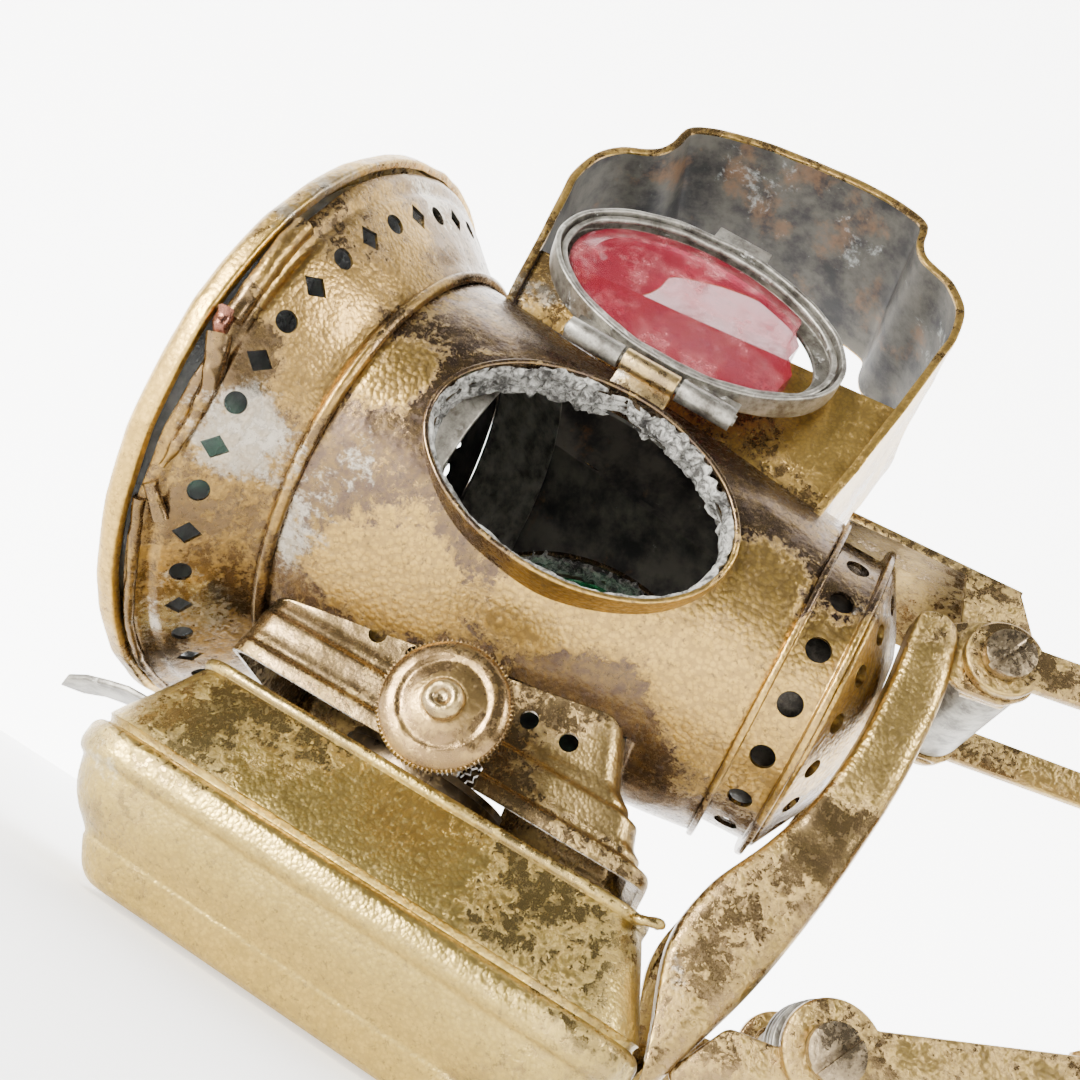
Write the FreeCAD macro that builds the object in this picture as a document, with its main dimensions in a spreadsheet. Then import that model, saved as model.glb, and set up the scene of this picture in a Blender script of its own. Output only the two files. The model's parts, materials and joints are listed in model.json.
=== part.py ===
import FreeCAD, Part
import math
import os
import Sketcher

# Brass bicycle oil lamp, laid out in millimetres.
# +X is the lamp's left (port) side, +Y its rear, +Z up.
# The origin is the middle of the oil font's flat bottom.

V = FreeCAD.Vector
UP = V(0, 0, 1)
ACROSS = V(1, 0, 0)
REARWARD = V(0, 1, 0)

doc = FreeCAD.newDocument("bicycle_lamp")
sheet = doc.addObject("Spreadsheet::Sheet", "Sizes")

SIZES = {
    # barrel, bell and front glass: radii and stations along the barrel axis
    "axis_height": 64.4, "sheet_wall": 0.7,
    "rim_radius": 42.5, "rim_front": -45.4, "rim_back": -41.9,
    "glass_radius": 39.2, "glass_front": -44.2, "glass_back": -41.3, "glass_flat_radius": 34.5,
    "bell_mouth_radius": 41.2, "bell_mouth": -41.7,
    "bell_band_radius": 39.1, "bell_band": -38.6,
    "bell_waist_radius": 34.3, "bell_waist": -33.4,
    "bell_neck_radius": 31.4, "bell_neck": -30.0,
    "bell_hole_pairs": 21, "bell_hole_radius": 37.1, "bell_hole_station": -36.6,
    "round_hole": 2.65, "diamond_wide": 2.9, "diamond_long": 3.5,
    "barrel_front_radius": 30.9, "barrel_front": -29.9,
    "barrel_rear_radius": 22.3, "barrel_rear": 28.9,
    "reflector_length": 13.3, "reflector_rear_radius": 24.2,
    # vented rear end
    "flange_radius": 23.0, "second_flange_radius": 22.0,
    "vent_band_radius": 20.4, "vent_band_back": 35.3, "flange_thick": 0.9,
    "vent_holes": 18, "vent_hole": 3.0, "tail_hole": 2.6,
    "tail_ring_radius": 17.6, "tail_ring": 38.2, "tail_end_radius": 13.0, "tail_end": 40.6, "tail_back": 41.8,
    # side windows and their doors
    "window_half_length": 18.6, "window_half_height": 11.9,
    "flange_half_length": 19.8, "flange_half_height": 13.1, "flange_stand": 2.0,
    "door_half_length": 21.0, "door_half_height": 14.3, "door_depth": 3.6, "door_wall": 0.7,
    "glass_half_length": 18.7, "glass_half_height": 12.0, "jewel_bevel": 2.2,
    "hinge_height": 17.0, "hinge_stand": 1.0, "hinge_pin_radius": 0.7, "knuckle_radius": 1.45,
    "knuckle_length": 7.4, "knuckle_gap": 0.4, "door_open_angle": 196,
    # hood and neck
    "hood_middle": 0.75, "hood_half_width": 16.7, "hood_wall": 0.8,
    "neck_half_width": 15.9, "neck_half_length": 24.6, "neck_top": 100.4,
    # gallery
    "gallery_foot": 29.6, "gallery_half_width": 16.9, "gallery_half_length": 28.0,
    # font
    "font_half_length": 35.3, "font_half_width": 22.5, "font_corner": 7.0, "font_top": 27.6, "font_wall": 0.9,
    "burner_middle": -2.6,
    # wick raiser
    "spindle_height": 34.1, "spindle_middle": 0.8, "spindle_radius": 1.1,
    "knob_radius": 7.4, "knob_face": 28.2, "knob_thick": 3.4, "wheel_radius": 2.3,
    # bracket
    "upper_pivot_rear": 52.0, "upper_pivot_height": 74.0,
    "lower_pivot_rear": 51.5, "lower_pivot_height": 25.4,
    "clamp_pivot_rear": 86.0, "clamp_upper_height": 79.0, "clamp_lower_height": 41.0,
    "arm_inner": 11.4, "arm_depth": 5.0, "arm_wall": 1.2,
    "bolt_radius": 2.0, "link_thick": 1.8,
}
for row, (alias, value) in enumerate(SIZES.items(), start=1):
    sheet.set(f"A{row}", alias)
    sheet.set(f"B{row}", str(value))
    sheet.setAlias(f"B{row}", alias)
doc.recompute()


def size(alias):
    return float(sheet.get(alias))


nodes = []


def keep(node, label):
    node.Label = label
    nodes.append(node)
    return node


def from_shape(label, shape, placement=None):
    """A sub-part whose shape is worked out with Part's own functions."""
    node = doc.addObject("Part::Feature", label)
    node.Shape = shape
    if placement is not None:
        node.Placement = placement
    return keep(node, label)


def sketch_in(body, plane):
    sketch = body.newObject("Sketcher::SketchObject", body.Name + "_outline")
    support = next(item for item in body.Origin.OriginFeatures if item.Role == plane)
    sketch.AttachmentSupport = [(support, "")]
    sketch.MapMode = "FlatFace"
    return sketch


def closed_outline(sketch, corners):
    """Straight sides through corners, each given as two expressions on the sheet."""
    points = []
    for across, along in corners:
        points.append(V(float(sketch.evalExpression(across)), float(sketch.evalExpression(along)), 0))
    for start, end in zip(points, points[1:] + points[:1]):
        sketch.addGeometry(Part.LineSegment(start, end), False)
    count = len(points)
    for side in range(count):
        sketch.addConstraint(Sketcher.Constraint("Coincident", side, 2, (side + 1) % count, 1))
    for side, (across, along) in enumerate(corners):
        for kind, expression, value in (("DistanceX", across, points[side].x), ("DistanceY", along, points[side].y)):
            index = sketch.addConstraint(Sketcher.Constraint(kind, -1, 1, side, 1, value))
            sketch.setExpression(f"Constraints[{index}]", expression)


def turned(label, corners, plane="YZ_Plane", base=("0", "0", "Sizes.axis_height")):
    """A body turned about the sketch's level axis through base: corners are (station, radius)."""
    body = doc.addObject("PartDesign::Body", label)
    sketch = sketch_in(body, plane)
    closed_outline(sketch, corners)
    turn = body.newObject("PartDesign::Revolution", label + "_turn")
    turn.Profile = sketch
    turn.ReferenceAxis = (sketch, ["H_Axis"])
    turn.Angle = 360
    for letter, expression in zip("xyz", base):
        body.setExpression(f".Placement.Base.{letter}", expression)
    return keep(body, label)


def revolved(wire_points, about, direction):
    """A closed outline of points turned into a solid; arcs are given as ('arc', middle, end)."""
    edges = []
    start = wire_points[0]
    for step in wire_points[1:] + [wire_points[0]]:
        if isinstance(step, tuple):
            edges.append(Part.Arc(start, step[1], step[2]).toShape())
            start = step[2]
        else:
            if (step - start).Length > 1e-6:
                edges.append(Part.LineSegment(start, step).toShape())
            start = step
    face = Part.Face(Part.Wire(edges))
    return face.revolve(about, direction, 360)


def barrel_point(station, radius):
    return V(0, station, size("axis_height") + radius)


AXIS = V(0, 0, size("axis_height"))
WALL = size("sheet_wall")


def prism(points, depth):
    face = Part.Face(Part.makePolygon(points + [points[0]]))
    return face.extrude(depth)


# ---- bell: a pressed flare, pierced all round with diamonds and rounds ----

def bell_shell():
    mouth = barrel_point(size("bell_mouth"), size("bell_mouth_radius"))
    lip = barrel_point(size("bell_mouth") + 1.3, size("bell_mouth_radius") - 0.5)
    groove = barrel_point(size("bell_mouth") + 2.1, size("bell_band_radius") + 0.2)
    band = barrel_point(size("bell_band"), size("bell_band_radius"))
    waist = barrel_point(size("bell_waist"), size("bell_waist_radius"))
    sweep = barrel_point(size("bell_waist") + 2.3, size("bell_neck_radius") + 0.75)
    neck = barrel_point(size("bell_neck"), size("bell_neck_radius"))
    inner = V(0, 0, -WALL)
    outline = [mouth, lip, groove, band, waist, ("arc", sweep, neck),
               neck + inner, ("arc", sweep + inner, waist + inner), band + inner,
               groove + inner, lip + inner, mouth + inner]
    return revolved(outline, AXIS, REARWARD)


def bell_cutters():
    pairs = int(size("bell_hole_pairs"))
    seat = barrel_point(size("bell_hole_station"), size("bell_hole_radius"))
    slope = math.degrees(math.atan2(size("bell_band_radius") - size("bell_waist_radius"),
                                    size("bell_waist") - size("bell_band")))
    outward = V(0, math.sin(math.radians(slope)), math.cos(math.radians(slope)))
    downhill = outward.cross(ACROSS)
    start = seat - outward * 3
    half_wide = ACROSS * (size("diamond_wide") / 2)
    half_long = downhill * (size("diamond_long") / 2)
    diamond = prism([start + half_long, start + half_wide, start - half_long, start - half_wide], outward * 6)
    round_hole = Part.makeCylinder(size("round_hole") / 2, 6, start, outward)
    step = 360.0 / (2 * pairs)
    first = 37.6 - 90
    cutters = []
    for count in range(pairs):
        for cutter, extra in ((diamond, 0), (round_hole, step)):
            copy = cutter.copy()
            copy.rotate(AXIS, REARWARD, -(first + 2 * step * count + extra))
            cutters.append(copy)
    return cutters


from_shape("bell", bell_shell().cut(bell_cutters()))

# ---- front rim, glass and its spring ring ----

turned("front_rim", [
    ("Sizes.rim_front", "Sizes.rim_radius - 4.2"),
    ("Sizes.rim_front", "Sizes.rim_radius - 1"),
    ("Sizes.rim_front + 1", "Sizes.rim_radius"),
    ("Sizes.rim_back", "Sizes.rim_radius"),
    ("Sizes.rim_back", "Sizes.bell_mouth_radius + 0.05"),
    ("Sizes.glass_front", "Sizes.bell_mouth_radius + 0.05"),
    ("Sizes.glass_front", "Sizes.rim_radius - 4.2"),
])
turned("front_glass", [
    ("Sizes.glass_front - 1.0", "0"),
    ("Sizes.glass_front - 1.0", "Sizes.glass_flat_radius"),
    ("Sizes.glass_front + 0.05", "Sizes.glass_flat_radius + 3.2"),
    ("Sizes.glass_front + 0.05", "Sizes.glass_radius"),
    ("Sizes.glass_back", "Sizes.glass_radius"),
    ("Sizes.glass_back", "0"),
])
ring = doc.addObject("Part::Torus", "glass_spring_ring")
ring.setExpression("Radius1", "Sizes.glass_radius - 0.1")
ring.Radius2 = 0.6
ring.Placement = FreeCAD.Placement(V(0, 0, 0), FreeCAD.Rotation(ACROSS, 90))
ring.setExpression(".Placement.Base.y", "Sizes.glass_back + 0.65")
ring.setExpression(".Placement.Base.z", "Sizes.axis_height")
keep(ring, "glass_spring_ring")

turned("barrel_joint_ring", [
    ("Sizes.bell_neck + 0.05", "Sizes.barrel_front_radius + 0.04"),
    ("Sizes.bell_neck + 0.05", "Sizes.bell_neck_radius + 0.3"),
    ("Sizes.bell_neck + 0.6", "Sizes.bell_neck_radius + 0.6"),
    ("Sizes.bell_neck + 1.3", "Sizes.bell_neck_radius + 0.3"),
    ("Sizes.bell_neck + 1.5", "Sizes.barrel_front_radius - 0.14"),
])

# ---- barrel: a tapered tube with two oval windows, open above and below ----

taper = math.atan2(size("barrel_front_radius") - size("barrel_rear_radius"),
                   size("barrel_rear") - size("barrel_front"))


def barrel_radius(station):
    share = (station - size("barrel_front")) / (size("barrel_rear") - size("barrel_front"))
    return size("barrel_front_radius") + share * (size("barrel_rear_radius") - size("barrel_front_radius"))


def cone(radial, front=None, rear=None):
    front = size("barrel_front") if front is None else front
    rear = size("barrel_rear") if rear is None else rear
    return Part.makeCone(barrel_radius(front) + radial, barrel_radius(rear) + radial, rear - front,
                         V(0, front, size("axis_height")), REARWARD)


def window_place(side):
    """Local Z points straight out of the window, local Y up, local X along the barrel."""
    outward = V(side * math.cos(taper), math.sin(taper), 0)
    along = V(-math.sin(taper), side * math.cos(taper), 0)
    upward = outward.cross(along)
    seat = V(side * barrel_radius(0), 0, size("axis_height"))
    return FreeCAD.Placement(seat, FreeCAD.Rotation(along, upward, outward, "ZXY"))


def oval(half_length, half_height, start, depth):
    curve = Part.Ellipse(V(0, 0, start), half_length, half_height)
    return Part.Face(Part.Wire(curve.toShape())).extrude(V(0, 0, depth))


def oval_ring(outer, inner, start, depth):
    return oval(*outer, start, depth).cut(oval(*inner, start - 1, depth + 2))


WINDOW = (size("window_half_length"), size("window_half_height"))
PORT = 1
STARBOARD = -1

barrel = cone(0).cut(cone(-WALL, size("barrel_front") - 1, size("barrel_rear") + 1))
for side in (PORT, STARBOARD):
    opening = oval(*WINDOW, -14, 20)
    opening.Placement = window_place(side)
    barrel = barrel.cut(opening)
neck_opening = Part.makeBox(2 * size("neck_half_width") - 3, 2 * size("neck_half_length") - 3, 60,
                            V(1.5 - size("neck_half_width"),
                              size("hood_middle") + 1.5 - size("neck_half_length"), size("axis_height")))
burner_opening = Part.makeBox(26, 40, 40, V(-13, -22, size("axis_height") - 40))
barrel = barrel.cut([neck_opening, burner_opening])
from_shape("barrel", barrel)



def reflector_cone():
    """A bright cone inside the barrel that gathers light towards the front glass."""
    front = size("barrel_front") + 0.6
    rear = front + size("reflector_length")
    wall = 0.5
    wide = barrel_radius(front) - WALL - 0.05
    narrow = size("reflector_rear_radius")
    outer = Part.makeCone(wide, narrow, rear - front, V(0, front, size("axis_height")), REARWARD)
    inner = Part.makeCone(wide - wall, narrow - wall, rear - front, V(0, front, size("axis_height")), REARWARD)
    return outer.cut(inner)


from_shape("reflector_cone", reflector_cone())

# ---- vented rear end ----


def ring_of_holes(count, diameter, station, radius, tilt, first):
    outward = V(0, math.sin(tilt), math.cos(tilt))
    drill = Part.makeCylinder(diameter / 2, 6, barrel_point(station, radius) - outward * 3, outward)
    drills = []
    for number in range(count):
        copy = drill.copy()
        copy.rotate(AXIS, REARWARD, -(first - 90 + number * 360.0 / count))
        drills.append(copy)
    return drills


def vent_collar():
    thick = size("flange_thick")
    front = size("barrel_rear")
    back = size("vent_band_back")
    band = size("vent_band_radius")
    points = [(front + 0.02, size("barrel_rear_radius") - 1.2), (front + 0.02, size("flange_radius")),
              (front + thick, size("flange_radius")), (front + thick, band), (back, band - 0.3),
              (back, size("second_flange_radius")), (back + thick, size("second_flange_radius")),
              (back + thick, band - 1.0), (front + thick + 0.4, band - 0.7), (front + thick, band - 1.2)]
    collar = revolved([barrel_point(*point) for point in points], AXIS, REARWARD)
    middle = (front + thick + back) / 2
    return collar.cut(ring_of_holes(int(size("vent_holes")), size("vent_hole"), middle, band, 0, 14))


def tail_cover():
    start = size("vent_band_back") + size("flange_thick") + 0.02
    band = size("vent_band_radius")
    points = [(start, band - 1.6), (start, band), (start + 0.6, band - 0.1),
              (size("tail_end"), size("tail_end_radius")),
              (size("tail_back"), size("tail_end_radius") - 3), (size("tail_back"), 0),
              (size("tail_back") - 0.8, 0), (size("tail_back") - 0.8, size("tail_end_radius") - 3.4),
              (size("tail_end") - 0.8, size("tail_end_radius") - 0.6)]
    cover = revolved([barrel_point(*point) for point in points], AXIS, REARWARD)
    run = size("tail_end") - start - 0.6
    tilt = math.atan2(band - size("tail_end_radius"), run)
    drills = ring_of_holes(int(size("vent_holes")), size("tail_hole"), size("tail_ring"),
                           size("tail_ring_radius"), tilt, -4.9)
    return cover.cut(drills)


from_shape("vent_collar", vent_collar())
from_shape("tail_cover", tail_cover())

# ---- side windows: a raised oval flange, a hinged glazed door and its hinge ----

FLANGE = (size("flange_half_length"), size("flange_half_height"))
DOOR = (size("door_half_length"), size("door_half_height"))
GLASS = (size("glass_half_length"), size("glass_half_height"))
DOOR_EDGE = 0.6
HINGE_LINE = V(0, size("hinge_height"), size("hinge_stand"))


def thinner(oval_size, amount):
    return (oval_size[0] - amount, oval_size[1] - amount)


def window_flange(place):
    ring = oval_ring(FLANGE, thinner(FLANGE, WALL), -10, 10 + size("flange_stand"))
    ring.Placement = place
    return ring.cut(cone(0.02))


def door_frame():
    wall = size("door_wall")
    face = DOOR_EDGE + size("door_depth")
    rim = oval_ring(DOOR, thinner(DOOR, wall), DOOR_EDGE, size("door_depth"))
    seat = oval_ring(thinner(DOOR, wall), thinner(GLASS, 0.9), face - wall, wall)
    return rim.fuse(seat).removeSplitter()


def door_glass():
    back = DOOR_EDGE + size("door_depth") - size("door_wall") - 0.02
    bevel = thinner(GLASS, 1.1)
    slab = oval(*GLASS, back - 0.9, 0.9)
    foot = Part.Wire(Part.Ellipse(V(0, 0, back), *bevel).toShape())
    crown = Part.Wire(Part.Ellipse(V(0, 0, back + 1.5), *thinner(bevel, size("jewel_bevel"))).toShape())
    return slab.fuse(Part.makeLoft([foot, crown], True)).removeSplitter()


def knuckle(middle, length):
    start = HINGE_LINE + V(middle - length / 2, 0, 0)
    barrel_part = Part.makeCylinder(size("knuckle_radius"), length, start, ACROSS)
    return barrel_part.cut(Part.makeCylinder(size("hinge_pin_radius") + 0.03, length + 2, start - ACROSS, ACROSS))


def plate_with_knuckle(middle, length, near, low):
    plate = Part.makeBox(length, HINGE_LINE.y - near, 0.7, V(middle - length / 2, near, low))
    bore = Part.makeCylinder(size("hinge_pin_radius") + 0.03, length + 2,
                             HINGE_LINE + V(middle - length / 2 - 1, 0, 0), ACROSS)
    return plate.cut(bore).fuse(knuckle(middle, length))


def fixed_leaf():
    length = size("knuckle_length")
    leaf = plate_with_knuckle(0, length, FLANGE[1] - 0.4, HINGE_LINE.z - size("knuckle_radius"))
    return leaf.cut(oval(*FLANGE, -6, 12)).removeSplitter()


def door_leaf():
    pitch = size("knuckle_length") + size("knuckle_gap")
    top = HINGE_LINE.z + size("knuckle_radius") - 0.7
    leaves = [plate_with_knuckle(side * pitch, size("knuckle_length"), DOOR[1] - 1.4, top) for side in (-1, 1)]
    return leaves[0].fuse(leaves[1]).cut(oval(*DOOR, -6, 20))


def hinge_pin():
    length = 3 * size("knuckle_length") + 2 * size("knuckle_gap") + 0.6
    return Part.makeCylinder(size("hinge_pin_radius"), length, HINGE_LINE - ACROSS * (length / 2), ACROSS)


def door_catch():
    face = DOOR_EDGE + size("door_depth")
    tab = Part.makeBox(8.4, 7.0, 0.8, V(-4.2, -DOOR[1] - 6.4, face - 0.8))
    return tab.cut(oval(*DOOR, -6, 20))


SWING = FreeCAD.Placement(V(0, 0, 0), FreeCAD.Rotation(ACROSS, -size("door_open_angle")), HINGE_LINE)
for side, name, door_turn in ((PORT, "port", SWING), (STARBOARD, "starboard", None)):
    place = window_place(side)
    open_place = place.multiply(door_turn) if door_turn else place
    from_shape(f"window_flange_{name}", window_flange(place))
    from_shape(f"hinge_leaf_{name}", fixed_leaf(), place)
    from_shape(f"hinge_pin_{name}", hinge_pin(), place)
    from_shape(f"door_frame_{name}", door_frame(), open_place)
    from_shape(f"door_glass_{name}", door_glass(), open_place)
    from_shape(f"door_leaf_{name}", door_leaf(), open_place)
    from_shape(f"door_catch_{name}", door_catch(), open_place)

# ---- hood: a bent strip open at both sides, and the neck inside it ----

MIDDLE = size("hood_middle")


def hood_outline(inset):
    """Half outlines mirrored about the hood's middle, from foot to crown."""
    def at(out, height):
        return (out - inset, height - (inset if height > 120 else 0))
    foot = at(23.6, 70)
    hip = at(30.3, 111.5)
    shoulder_bulge = at(29.3, 120.2)
    shoulder = at(22.8, 124.7)
    notch_bulge = at(20.7, 126.3)
    notch = at(19.9, 130.2)
    crown_side = at(17.2, 132.6)
    rear = [V(0, MIDDLE + out, height) for out, height in
            (foot, hip, shoulder_bulge, shoulder, notch_bulge, notch, crown_side)]
    front = [V(0, 2 * MIDDLE - point.y, point.z) for point in rear]
    crown = V(0, MIDDLE, 135.0 - inset)
    edges = [Part.LineSegment(rear[0], rear[1]).toShape(),
             Part.Arc(rear[1], rear[2], rear[3]).toShape(),
             Part.Arc(rear[3], rear[4], rear[5]).toShape(),
             Part.LineSegment(rear[5], rear[6]).toShape(),
             Part.Arc(rear[6], crown, front[6]).toShape(),
             Part.LineSegment(front[6], front[5]).toShape(),
             Part.Arc(front[5], front[4], front[3]).toShape(),
             Part.Arc(front[3], front[2], front[1]).toShape(),
             Part.LineSegment(front[1], front[0]).toShape(),
             Part.LineSegment(front[0], rear[0]).toShape()]
    return Part.Face(Part.Wire(edges))


def hood():
    half = size("hood_half_width")
    wall = size("hood_wall")
    outer = hood_outline(0)
    outer.translate(V(-half, 0, 0))
    inner = hood_outline(wall)
    inner.translate(V(-half - 1, 0, 0))
    shell = outer.extrude(V(2 * half, 0, 0)).cut(inner.extrude(V(2 * half + 2, 0, 0)))
    floor = Part.makeBox(60, 80, 12, V(-30, -40, 62))
    return shell.cut([cone(0.02), floor])


def neck():
    def tapered(inset, low, high, half):
        lean = (30.3 - 23.6) / (111.5 - 70)
        bottom = 23.6 - size("hood_wall") - 0.02 + lean * (low - 70) - inset
        top = 23.6 - size("hood_wall") - 0.02 + lean * (high - 70) - inset
        corners = [V(-half, MIDDLE - bottom, low), V(-half, MIDDLE + bottom, low),
                   V(-half, MIDDLE + top, high), V(-half, MIDDLE - top, high)]
        return prism(corners, V(2 * half, 0, 0))
    half = size("neck_half_width")
    outer = tapered(0, 76, size("neck_top"), half)
    inner = tapered(0.7, 75, size("neck_top") + 1, half - 0.7)
    return outer.cut([inner, cone(0.02)])


from_shape("hood", hood())
from_shape("hood_neck", neck())

# ---- stacked rounded rectangles, for the gallery and the font ----


def rounded_rectangle(height, front, rear, half_width, corner):
    edges = []
    corners = [(half_width, rear, 0), (-half_width, rear, 90), (-half_width, front, 180), (half_width, front, 270)]
    arcs = []
    for across, along, start in corners:
        middle = V(across - math.copysign(corner, across), along - math.copysign(corner, along - (front + rear) / 2),
                   height)
        arcs.append(Part.Arc(Part.Circle(middle, UP, corner), math.radians(start), math.radians(start + 90)))
    for number, arc in enumerate(arcs):
        edges.append(arc.toShape())
        following = arcs[(number + 1) % 4]
        edges.append(Part.LineSegment(arc.EndPoint, following.StartPoint).toShape())
    return Part.Wire(edges)


def stack(rows):
    return Part.makeLoft([rounded_rectangle(*row) for row in rows], True, True)


def gallery():
    foot = size("gallery_foot")
    wide = size("gallery_half_width")
    long = size("gallery_half_length")
    # height above the foot, how far the rear end and the sides step in
    steps = [(0, 0, 0), (1.9, 0.3, 0), (2.5, 2.0, 0.6), (4.0, 3.4, 0.8), (6.2, 4.0, 0.9),
             (6.9, 5.4, 1.3), (8.6, 7.4, 1.6), (14.4, 10.0, 1.9), (19.0, 12.6, 2.0)]
    wall = 0.8
    outer = stack([(foot + rise, -long, long - back, wide - side, 3.0) for rise, back, side in steps])
    inner = stack([(foot + rise + (-0.5 if rise == 0 else 0), -long + wall, long - back - wall,
                    wide - side - wall, 2.3) for rise, back, side in steps])
    notch_top = foot + 8.2
    notch = prism([V(-30, MIDDLE - 6.4, foot - 1), V(-30, MIDDLE + 5.6, foot - 1),
                   V(-30, MIDDLE + 4.4, notch_top), V(-30, MIDDLE - 4.4, notch_top)], V(60, 0, 0))
    vents = [Part.makeCylinder(1.1, 60, V(-30, -13.7 + 5.28 * number, foot + 10.3), ACROSS) for number in range(6)]
    return outer.cut([inner, notch, cone(0.02)] + vents)


from_shape("gallery", gallery())


def font_rows(wall):
    long = size("font_half_length") - wall
    wide = size("font_half_width") - wall
    # height and how far the side stands in: foot bead, big round, edge bead, groove, shoulder, rim
    profile = [(0, 8.6), (0.6, 7.6), (2.4, 6.2), (3.8, 5.4), (4.4, 5.3), (5.0, 4.7), (6.4, 3.2), (8.2, 2.0),
               (10.4, 1.2), (11.0, 0.9), (11.5, 0.3), (12.5, 0.0), (14.0, 0.0), (14.8, 0.4), (15.3, 1.1),
               (16.0, 0.8), (26.0, 5.3), (26.4, 5.0), (27.1, 5.0), (size("font_top"), 5.5)]
    corner = size("font_corner")
    return [(height, -long + inset, long - inset, wide - inset, max(corner - 0.35 * inset - wall, 2.5))
            for height, inset in profile if wall < height < size("font_top") - wall or wall == 0]


def font():
    shell = stack(font_rows(0)).cut(stack(font_rows(size("font_wall"))))
    return shell.cut(Part.makeCylinder(9.2, 6, V(0, size("burner_middle"), size("font_top") - 3), UP))


from_shape("font", font())


def font_tab():
    """A finger tab that leaves the font's shoulder and dips in front of the rim."""
    top = [V(-6, -31.9, 21.0), V(-6, -41, 20.6), V(-6, -47, 19.2), V(-6, -51.5, 17.2)]
    under = [point - UP * 0.8 for point in reversed(top)]
    strip = prism(top + under, V(12, 0, 0))
    plan = [V(-4.5, -30, 10), V(-4.6, -44, 10), V(-3.2, -49.6, 10), V(0, -51.4, 10), V(3.2, -49.6, 10),
            V(4.6, -44, 10), V(4.5, -30, 10)]
    return strip.common(prism(plan, V(0, 0, 20))).cut(stack(font_rows(0)))


from_shape("font_tab", font_tab())

# ---- burner, wick and wick raiser ----

def upright(label, corners):
    """A body turned about a vertical axis: corners are (radius, height)."""
    body = doc.addObject("PartDesign::Body", label)
    sketch = sketch_in(body, "XZ_Plane")
    closed_outline(sketch, corners)
    turn = body.newObject("PartDesign::Revolution", label + "_turn")
    turn.Profile = sketch
    turn.ReferenceAxis = (sketch, ["V_Axis"])
    turn.Angle = 360
    body.setExpression(".Placement.Base.y", "Sizes.burner_middle")
    return keep(body, label)


upright("burner_collar", [
    ("8.4", "Sizes.font_top - 1.4"), ("9.15", "Sizes.font_top - 1.4"), ("9.15", "Sizes.font_top + 0.02"),
    ("11.4", "Sizes.font_top + 0.02"), ("11.4", "Sizes.font_top + 2.4"), ("8.4", "Sizes.font_top + 2.4"),
])

tube_middle = size("burner_middle") - 0.2
deck_low = size("font_top") + 2.42
deck = Part.makeCylinder(11.0, 0.9, V(0, size("burner_middle"), deck_low), UP)
tube_outer = Part.makeBox(14.4, 4.4, 34, V(-7.2, tube_middle - 2.2, 20))
tube_inner = Part.makeBox(12.8, 2.8, 36, V(-6.4, tube_middle - 1.4, 19))
wheel_slot = Part.makeBox(10.4, 3, 5.4, V(-5.2, tube_middle + 1, size("spindle_height") - 2.7))
from_shape("burner_deck", deck.cut(tube_outer))
from_shape("wick_tube", tube_outer.cut([tube_inner, wheel_slot]))
from_shape("wick", Part.makeBox(12.2, 2.1, 49.8, V(-6.1, tube_middle - 1.1, 5.2)))

spindle_line = V(0, size("spindle_middle"), size("spindle_height"))
post = Part.makeBox(1.2, 3.4, 5.2, V(8.6, size("spindle_middle") - 1.7, deck_low + 0.92))
from_shape("spindle_post", post.cut(Part.makeCylinder(size("spindle_radius") + 0.12, 6,
                                                      spindle_line + ACROSS * 6, ACROSS)))
spindle = doc.addObject("Part::Cylinder", "wick_spindle")
spindle.setExpression("Radius", "Sizes.spindle_radius")
spindle.setExpression("Height", "Sizes.knob_face + 6")
spindle.Placement = FreeCAD.Placement(V(-6, 0, 0), FreeCAD.Rotation(REARWARD, 90))
spindle.setExpression(".Placement.Base.y", "Sizes.spindle_middle")
spindle.setExpression(".Placement.Base.z", "Sizes.spindle_height")
keep(spindle, "wick_spindle")


def wick_wheels():
    teeth = 12
    outer = size("wheel_radius")
    rim = []
    for number in range(2 * teeth):
        reach = outer if number % 2 == 0 else outer - 0.45
        angle = math.pi * number / teeth
        rim.append(spindle_line + V(0, reach * math.cos(angle), reach * math.sin(angle)))
    bore = Part.makeCylinder(size("spindle_radius") + 0.01, 20, spindle_line - ACROSS * 10, ACROSS)
    blank = prism(rim, V(1.0, 0, 0)).cut(bore)
    wheels = []
    for start in (-4.5, -0.5, 3.5):
        wheel = blank.copy()
        wheel.translate(V(start, 0, 0))
        wheels.append(wheel)
    return Part.makeCompound(wheels)


from_shape("wick_wheels", wick_wheels())

KNOB_BASE = ("0", "Sizes.spindle_middle", "Sizes.spindle_height")
turned("wick_knob", [
    ("Sizes.knob_face - Sizes.knob_thick", "Sizes.spindle_radius + 0.01"),
    ("Sizes.knob_face - Sizes.knob_thick", "Sizes.knob_radius - 0.9"),
    ("Sizes.knob_face - Sizes.knob_thick + 0.7", "Sizes.knob_radius"),
    ("Sizes.knob_face - 1.5", "Sizes.knob_radius"),
    ("Sizes.knob_face - 0.7", "Sizes.knob_radius - 0.8"),
    ("Sizes.knob_face - 0.2", "Sizes.knob_radius - 3.0"),
    ("Sizes.knob_face", "Sizes.knob_radius - 5.0"),
    ("Sizes.knob_face", "Sizes.spindle_radius + 0.01"),
], plane="XY_Plane", base=KNOB_BASE)
turned("knob_rivet", [
    ("Sizes.knob_face + 0.02", "0"), ("Sizes.knob_face + 0.02", "2.3"), ("Sizes.knob_face + 0.9", "2.3"),
    ("Sizes.knob_face + 1.5", "1.7"), ("Sizes.knob_face + 1.5", "0.9"), ("Sizes.knob_face + 1.1", "0"),
], plane="XY_Plane", base=KNOB_BASE)

# ---- bracket: a stay over the barrel's tail, two arms, and two pairs of links to a clamp ----

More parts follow.
